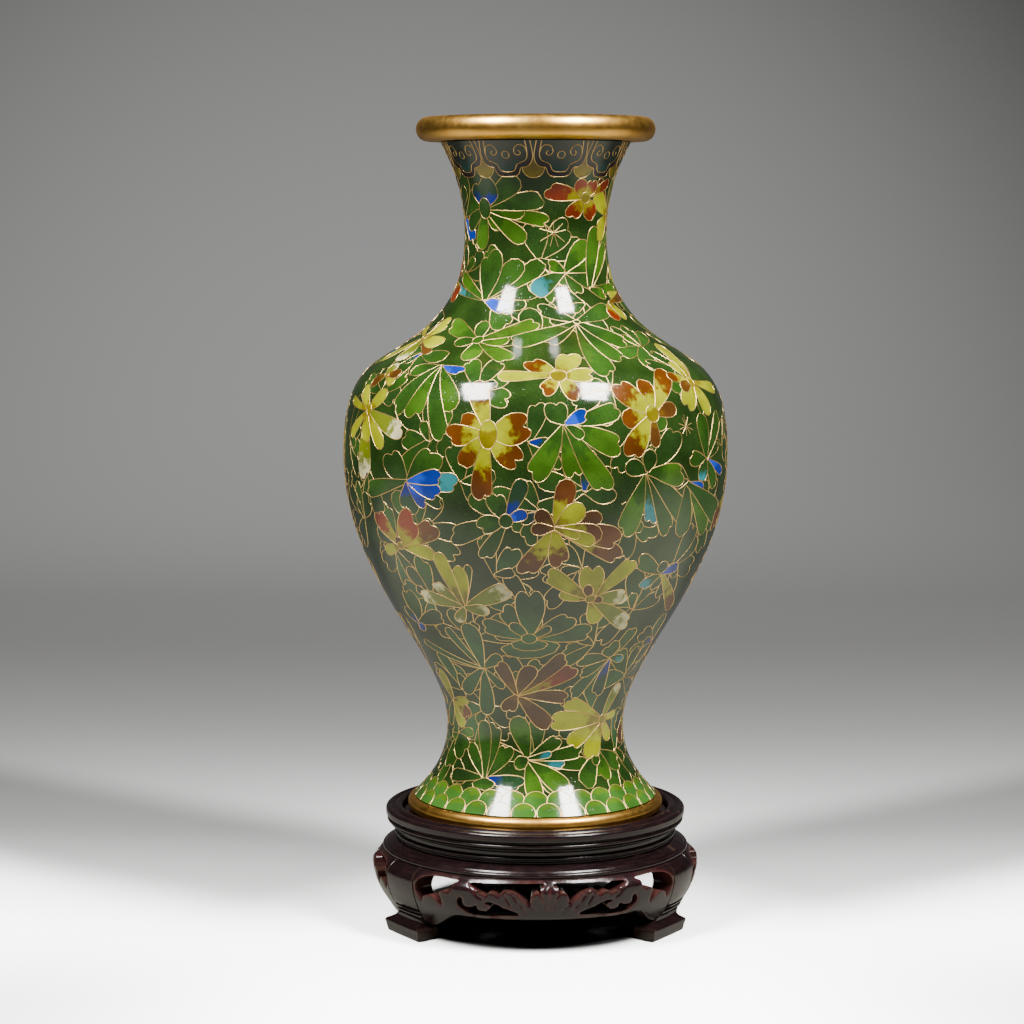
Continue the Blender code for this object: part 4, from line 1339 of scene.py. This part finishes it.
def enamel_material():
    n = Nodes("cloisonne_enamel")
    base = n.add("ShaderNodeAttribute", {"attribute_name": "base_colour"})
    tip = n.add("ShaderNodeAttribute", {"attribute_name": "tip_colour"})
    speckle = tip.outputs["Alpha"]
    cloud = n.noise(420.0, 3.0, 0.6)
    wobble = n.math("MULTIPLY", n.math("SUBTRACT", cloud, 0.5), 0.9)
    share = n.spread(n.math("ADD", base.outputs["Alpha"], wobble), 0.36, 0.64)
    colour = n.mix(share, base.outputs["Color"], tip.outputs["Color"])
    fine = n.noise(2600.0, 2.0, 0.7)
    dark = n.math("MULTIPLY", n.spread(fine, 0.56, 0.66), n.math("MULTIPLY", speckle, 0.75))
    colour = n.mix(dark, colour, display(14, 34, 14))
    glint = n.noise(2100.0, 1.0, 0.5)
    light = n.math("MULTIPLY", n.spread(glint, 0.64, 0.74), n.math("MULTIPLY", speckle, 0.3))
    colour = n.mix(light, colour, display(70, 100, 40))
    broad = n.spread(n.noise(95.0, 2.0, 0.5), 0.3, 0.7, 0.72, 1.28)
    tone = n.add("ShaderNodeHueSaturation", Value=broad, Color=colour)
    pits = n.noise(1500.0, 1.0, 0.4)
    pitted = n.bump(n.spread(pits, 0.70, 0.80), 0.00012, 0.3)
    waves = n.bump(n.noise(150.0, 2.0, 0.5), 0.0005, 0.1, pitted)
    rough = n.spread(n.noise(700.0, 2.0, 0.6), 0.3, 0.8, 0.07, 0.13)
    return n.set(Base_Color=tone.outputs["Color"], Roughness=rough, Normal=waves, IOR=1.65)


def gilt_material(name, colour, worn, rough_low, rough_high):
    n = Nodes(name)
    broad = n.spread(n.noise(90.0, 3.0, 0.6), 0.35, 0.7)
    tint = n.mix(n.math("MULTIPLY", broad, 0.6), colour, worn)
    spots = n.spread(n.noise(900.0, 3.0, 0.6), 0.66, 0.74, 0.0, 0.2)
    tint = n.mix(spots, tint, display(96, 58, 22))
    rough = n.spread(n.noise(500.0, 3.0, 0.6), 0.3, 0.75, rough_low, rough_high)
    dents = n.bump(n.noise(260.0, 2.0, 0.5), 0.0001, 0.15)
    return n.set(Base_Color=tint, Metallic=1.0, Roughness=rough, Normal=dents)


def plain_enamel_material():
    n = Nodes("turquoise_counter_enamel")
    broad = n.spread(n.noise(140.0, 3.0, 0.6), 0.3, 0.7)
    colour = n.mix(broad, display(40, 128, 140), display(66, 160, 165))
    speck = n.spread(n.noise(1600.0, 2.0, 0.6), 0.62, 0.7, 0.0, 0.5)
    colour = n.mix(speck, colour, display(18, 70, 84))
    return n.set(Base_Color=colour, Roughness=0.16, Normal=n.bump(n.noise(300.0, 2.0), 0.0004, 0.4))


def copper_material():
    n = Nodes("hammered_copper")
    colour = n.mix(n.noise(200.0, 3.0), display(184, 110, 80), display(120, 70, 52))
    hammer = n.add("ShaderNodeTexVoronoi", Scale=180.0)
    n.plug(hammer.inputs["Vector"], n.position())
    return n.set(Base_Color=colour, Metallic=1.0, Roughness=0.42,
                 Normal=n.bump(hammer.outputs["Distance"], 0.0004, 0.5))


def wood_material():
    n = Nodes("dark_rosewood")
    stretch = n.add("ShaderNodeMapping", Scale=(1.0, 1.0, 9.0))
    n.plug(stretch.inputs["Vector"], n.position())
    grain = n.noise(260.0, 4.0, 0.65, stretch.outputs["Vector"])
    pores = n.noise(900.0, 2.0, 0.6, stretch.outputs["Vector"])
    colour = n.mix(n.spread(grain, 0.35, 0.7), display(17, 10, 11), display(33, 18, 20))
    colour = n.mix(n.spread(pores, 0.6, 0.7, 0.0, 0.7), colour, display(8, 5, 5))
    # redder near the carved edges: partly worn wood, partly a painted highlight on the lit edges
    wear_and_sheen = n.add("ShaderNodeAttribute", {"attribute_name": "wear_and_sheen"}).outputs["Fac"]
    patchy = n.math("MULTIPLY", wear_and_sheen, n.spread(n.noise(190.0, 2.0), 0.35, 0.65, 0.3, 1.0))
    colour = n.mix(n.math("MULTIPLY", patchy, 0.3), colour, display(96, 36, 38))
    corner = n.spread(n.add("ShaderNodeNewGeometry").outputs["Pointiness"], 0.54, 0.62, 0.0, 0.25)
    colour = n.mix(n.math("MULTIPLY", corner, pores), colour, display(122, 92, 76))
    rough = n.spread(n.noise(420.0, 3.0, 0.6), 0.3, 0.75, 0.15, 0.27)
    rubbed = n.bump(grain, 0.00012, 0.25)
    cut = n.bump(n.noise(330.0, 2.0, 0.5), 0.00022, 0.25, rubbed)
    return n.set(Base_Color=colour, Roughness=rough, Normal=cut, Specular_IOR_Level=0.4)


# ---------------------------------------------------------------- stage, light and camera

def sweep_sheet(name, material, drop):
    """A floor that runs back and curves up into a wall."""
    profile = [(-2.2, -drop), (0.0, -drop), (0.7, -drop)]
    for i in range(1, 17):
        turn = math.radians(90.0 * i / 16.0)
        profile.append((0.7 + 0.6 * math.sin(turn), 0.6 * (1.0 - math.cos(turn)) - drop))
    profile.append((1.3, 3.0))
    verts, faces = [], []
    for y, z in profile:
        verts += [(-3.0, y, z), (3.0, y, z)]
    for i in range(len(profile) - 1):
        faces.append((2 * i, 2 * i + 1, 2 * i + 3, 2 * i + 2))
    sheet = smooth_object(name, verts, faces, material)
    return sheet


def make_stage():
    """A bright floor for the camera, with painted shadows, painted shade and painted light, and a dimmer
    copy that the vase is lit by and reflects, with painted shade in front of the vase and behind it.
    """
    n = Nodes("paper_floor")
    place = n.add("ShaderNodeSeparateXYZ", Vector=n.position())
    # painted fall-off of the light: the floor and the wall darken from the front to the back
    depth = n.add("ShaderNodeMapRange", From_Min=FLOOR_FRONT, From_Max=FLOOR_FAR)
    n.plug(depth.inputs["Value"], place.outputs["Y"])
    tone = n.add("ShaderNodeValToRGB", Fac=depth.outputs["Result"])
    ramp = tone.color_ramp
    ramp.interpolation = "B_SPLINE"
    while len(ramp.elements) < len(FLOOR_TONES):
        ramp.elements.new(0.5)
    for element, (at, value) in zip(ramp.elements, FLOOR_TONES):
        element.position = at
        element.color = (value, value * 1.01, value * 1.02, 1.0)
    # painted light: the far wall is painted brightest in one patch and darker towards its corners
    aside_from, above_from = PAINTED_LIGHT_AT
    side = n.math("POWER", n.math("ABSOLUTE", n.math("SUBTRACT", place.outputs["X"], aside_from)), 2.0)
    above = n.math("POWER", n.math("ABSOLUTE", n.math("SUBTRACT", place.outputs["Z"], above_from)), 2.0)
    far = n.math("ADD", n.math("MULTIPLY", side, PAINTED_LIGHT_FALL[0]), n.math("MULTIPLY", above, PAINTED_LIGHT_FALL[1]))
    far = n.math("MULTIPLY", far, n.spread(place.outputs["Y"], 0.4, 1.0))
    across = n.math("ABSOLUTE", place.outputs["X"])
    back = place.outputs["Y"]
    # painted shadows: two dark lobes on the floor, running back to either side of the vase
    run_x, run_y = PAINTED_SHADOW_RUN
    reach = n.math("ADD", n.math("MULTIPLY", across, run_x), n.math("MULTIPLY", back, run_y))
    aside = n.math("SUBTRACT", n.math("MULTIPLY", back, run_x), n.math("MULTIPLY", across, run_y))
    narrow = n.spread(n.math("ABSOLUTE", aside), *PAINTED_SHADOW_HALF, 1.0, 0.0)
    lobe = n.math("MULTIPLY", narrow, n.spread(reach, *PAINTED_SHADOW_START, 0.0, PAINTED_SHADOW_DEPTH))
    # painted shade: the floor under the stand is painted nearly black
    squares = n.math("ADD", n.math("MULTIPLY", across, across), n.math("MULTIPLY", back, back))
    painted_under_stand = n.spread(n.math("SQRT", squares), *PAINTED_STAND_SHADE, 0.01, 1.0)
    under = n.math("MULTIPLY", painted_under_stand, n.math("SUBTRACT", 1.0, lobe))
    # painted shade: the front of the floor darkens towards either side
    sides = n.math("MULTIPLY", n.spread(across, *PAINTED_SIDE_SHADE, 0.0, 0.5), n.spread(back, -0.1, 0.0, 1.0, 0.0))
    edge = n.math("SUBTRACT", 1.0, sides)
    painted_light = n.math("MAXIMUM", n.math("SUBTRACT", 1.0, far), PAINTED_LIGHT_LEAST)
    value = n.math("MULTIPLY", n.math("MULTIPLY", under, edge), painted_light)
    shade = n.add("ShaderNodeHueSaturation", Value=value)
    n.plug(shade.inputs["Color"], tone.outputs["Color"])
    n.set(Base_Color=shade.outputs["Color"], Roughness=0.85)
    floor = sweep_sheet("floor_seen", n.material, 0.0)
    floor.visible_diffuse = False
    floor.visible_glossy = False
    floor.visible_shadow = False

    dim = Nodes("dim_floor")
    place = dim.add("ShaderNodeSeparateXYZ", Vector=dim.position())
    # painted shade: the floor the vase reflects is dark in front of it and behind it, with a lit grey
    # around it
    front = dim.spread(place.outputs["Y"], -0.3, -0.07)
    behind = dim.spread(place.outputs["Y"], 0.02, 0.25)
    grey = dim.mix(front, (0.06, 0.06, 0.06), (0.33, 0.325, 0.28))
    dim.set(Base_Color=dim.mix(behind, grey, (0.07, 0.07, 0.07)), Roughness=0.9)
    bounce = sweep_sheet("floor_bounce", dim.material, 0.0005)
    bounce.visible_camera = False
    return floor


def soft_box(name, azimuth, elevation, roll, power, receivers):
    """A rectangular lamp aimed at the vase, which lights what its receivers say."""
    lamp = bpy.data.lights.new(name, "AREA")
    lamp.shape = "RECTANGLE"
    lamp.size, lamp.size_y = LAMP_SIZE
    lamp.energy = power
    lamp.color = WHITE_LIGHT
    holder = bpy.data.objects.new(name, lamp)
    bpy.context.scene.collection.objects.link(holder)
    turn, lift = math.radians(azimuth), math.radians(elevation)
    away = Vector((math.sin(turn) * math.cos(lift), -math.cos(turn) * math.cos(lift), math.sin(lift)))
    holder.location = Vector(LAMP_AIM) + away * LAMP_DISTANCE
    lean = Quaternion((0.0, 0.0, 1.0), math.radians(roll))
    holder.rotation_euler = (away.to_track_quat("Z", "Y") @ lean).to_euler()
    holder.light_linking.receiver_collection = receivers


def make_lights(floor):
    """Two lamps for the vase, and two lower ones that light only the floor the camera sees."""
    floor_only = bpy.data.collections.new("floor_only")
    floor_only.objects.link(floor)
    floor_left_out = bpy.data.collections.new("floor_left_out")
    floor_left_out.objects.link(floor)
    floor_left_out.collection_objects[0].light_linking.link_state = "EXCLUDE"
    azimuth, elevation = LAMP_PLACE
    floor_azimuth, floor_elevation = FLOOR_PLACE
    for side, turn in (("left", -1.0), ("right", 1.0)):
        roll = -turn * LAMP_ROLL
        power = (1.0 + turn * LAMP_BALANCE) * LAMP_POWER
        soft_box(f"lamp_{side}", turn * azimuth, elevation, roll, power, floor_left_out)
        power = (1.0 + turn * LAMP_BALANCE) * FLOOR_POWER
        soft_box(f"floor_lamp_{side}", turn * floor_azimuth, floor_elevation, roll, power, floor_only)
    world = bpy.data.worlds.new("grey_room")
    world.use_nodes = True
    back = world.node_tree.nodes["Background"]
    back.inputs["Color"].default_value = (*ROOM_COLOUR, 1.0)
    back.inputs["Strength"].default_value = ROOM_LIGHT
    bpy.context.scene.world = world


def make_camera():
    """The camera, in front of the vase and a little above its middle."""
    lens = bpy.data.cameras.new("camera")
    lens.lens = LENS
    lens.sensor_width = 36.0
    lens.clip_start = 0.01
    camera = bpy.data.objects.new("camera", lens)
    camera.location = CAMERA_AT
    camera.rotation_euler = (math.radians(90.0 - CAMERA_PITCH), 0.0, 0.0)
    bpy.context.scene.collection.objects.link(camera)
    bpy.context.scene.camera = camera


def dress_cad_nodes(copper, turquoise, wood):
    """Materials for the nodes that keep their CAD shape."""
    looks = {
        "neck_copper": copper, "shoulder_copper": copper, "lower_copper": copper, "foot_copper": copper,
        "base_plate": copper, "base_enamel": turquoise, "tray_floor": wood,
    }
    for name, material in looks.items():
        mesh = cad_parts[name].data
        mesh.materials.clear()
        mesh.materials.append(material)


make_camera()
make_lights(make_stage())

gilt = gilt_material("polished_gilt", display(248, 194, 98), display(226, 160, 68), 0.29, 0.36)
wire_gilt = gilt_material("wire_gilt", display(248, 208, 136), display(220, 174, 108), 0.34, 0.48)
turquoise = plain_enamel_material()
rosewood = wood_material()

vase_wall = Wall("outer_enamel")
pattern = draw_pattern(vase_wall)
copies = cell_copies(pattern)
net, triangles, owners, shifts = partition(pattern, copies)
make_enamel(pattern, net, triangles, owners, shifts, enamel_material())
make_wires(pattern, wire_chains(net, triangles, owners) + loose_stretches(pattern, copies), wire_gilt)
make_metal_rings(vase_wall, gilt)
make_inner_enamel(vase_wall, turquoise)
make_stand_rings(rosewood)
make_panels(rosewood)
make_legs(rosewood)
dress_cad_nodes(copper_material(), turquoise, rosewood)
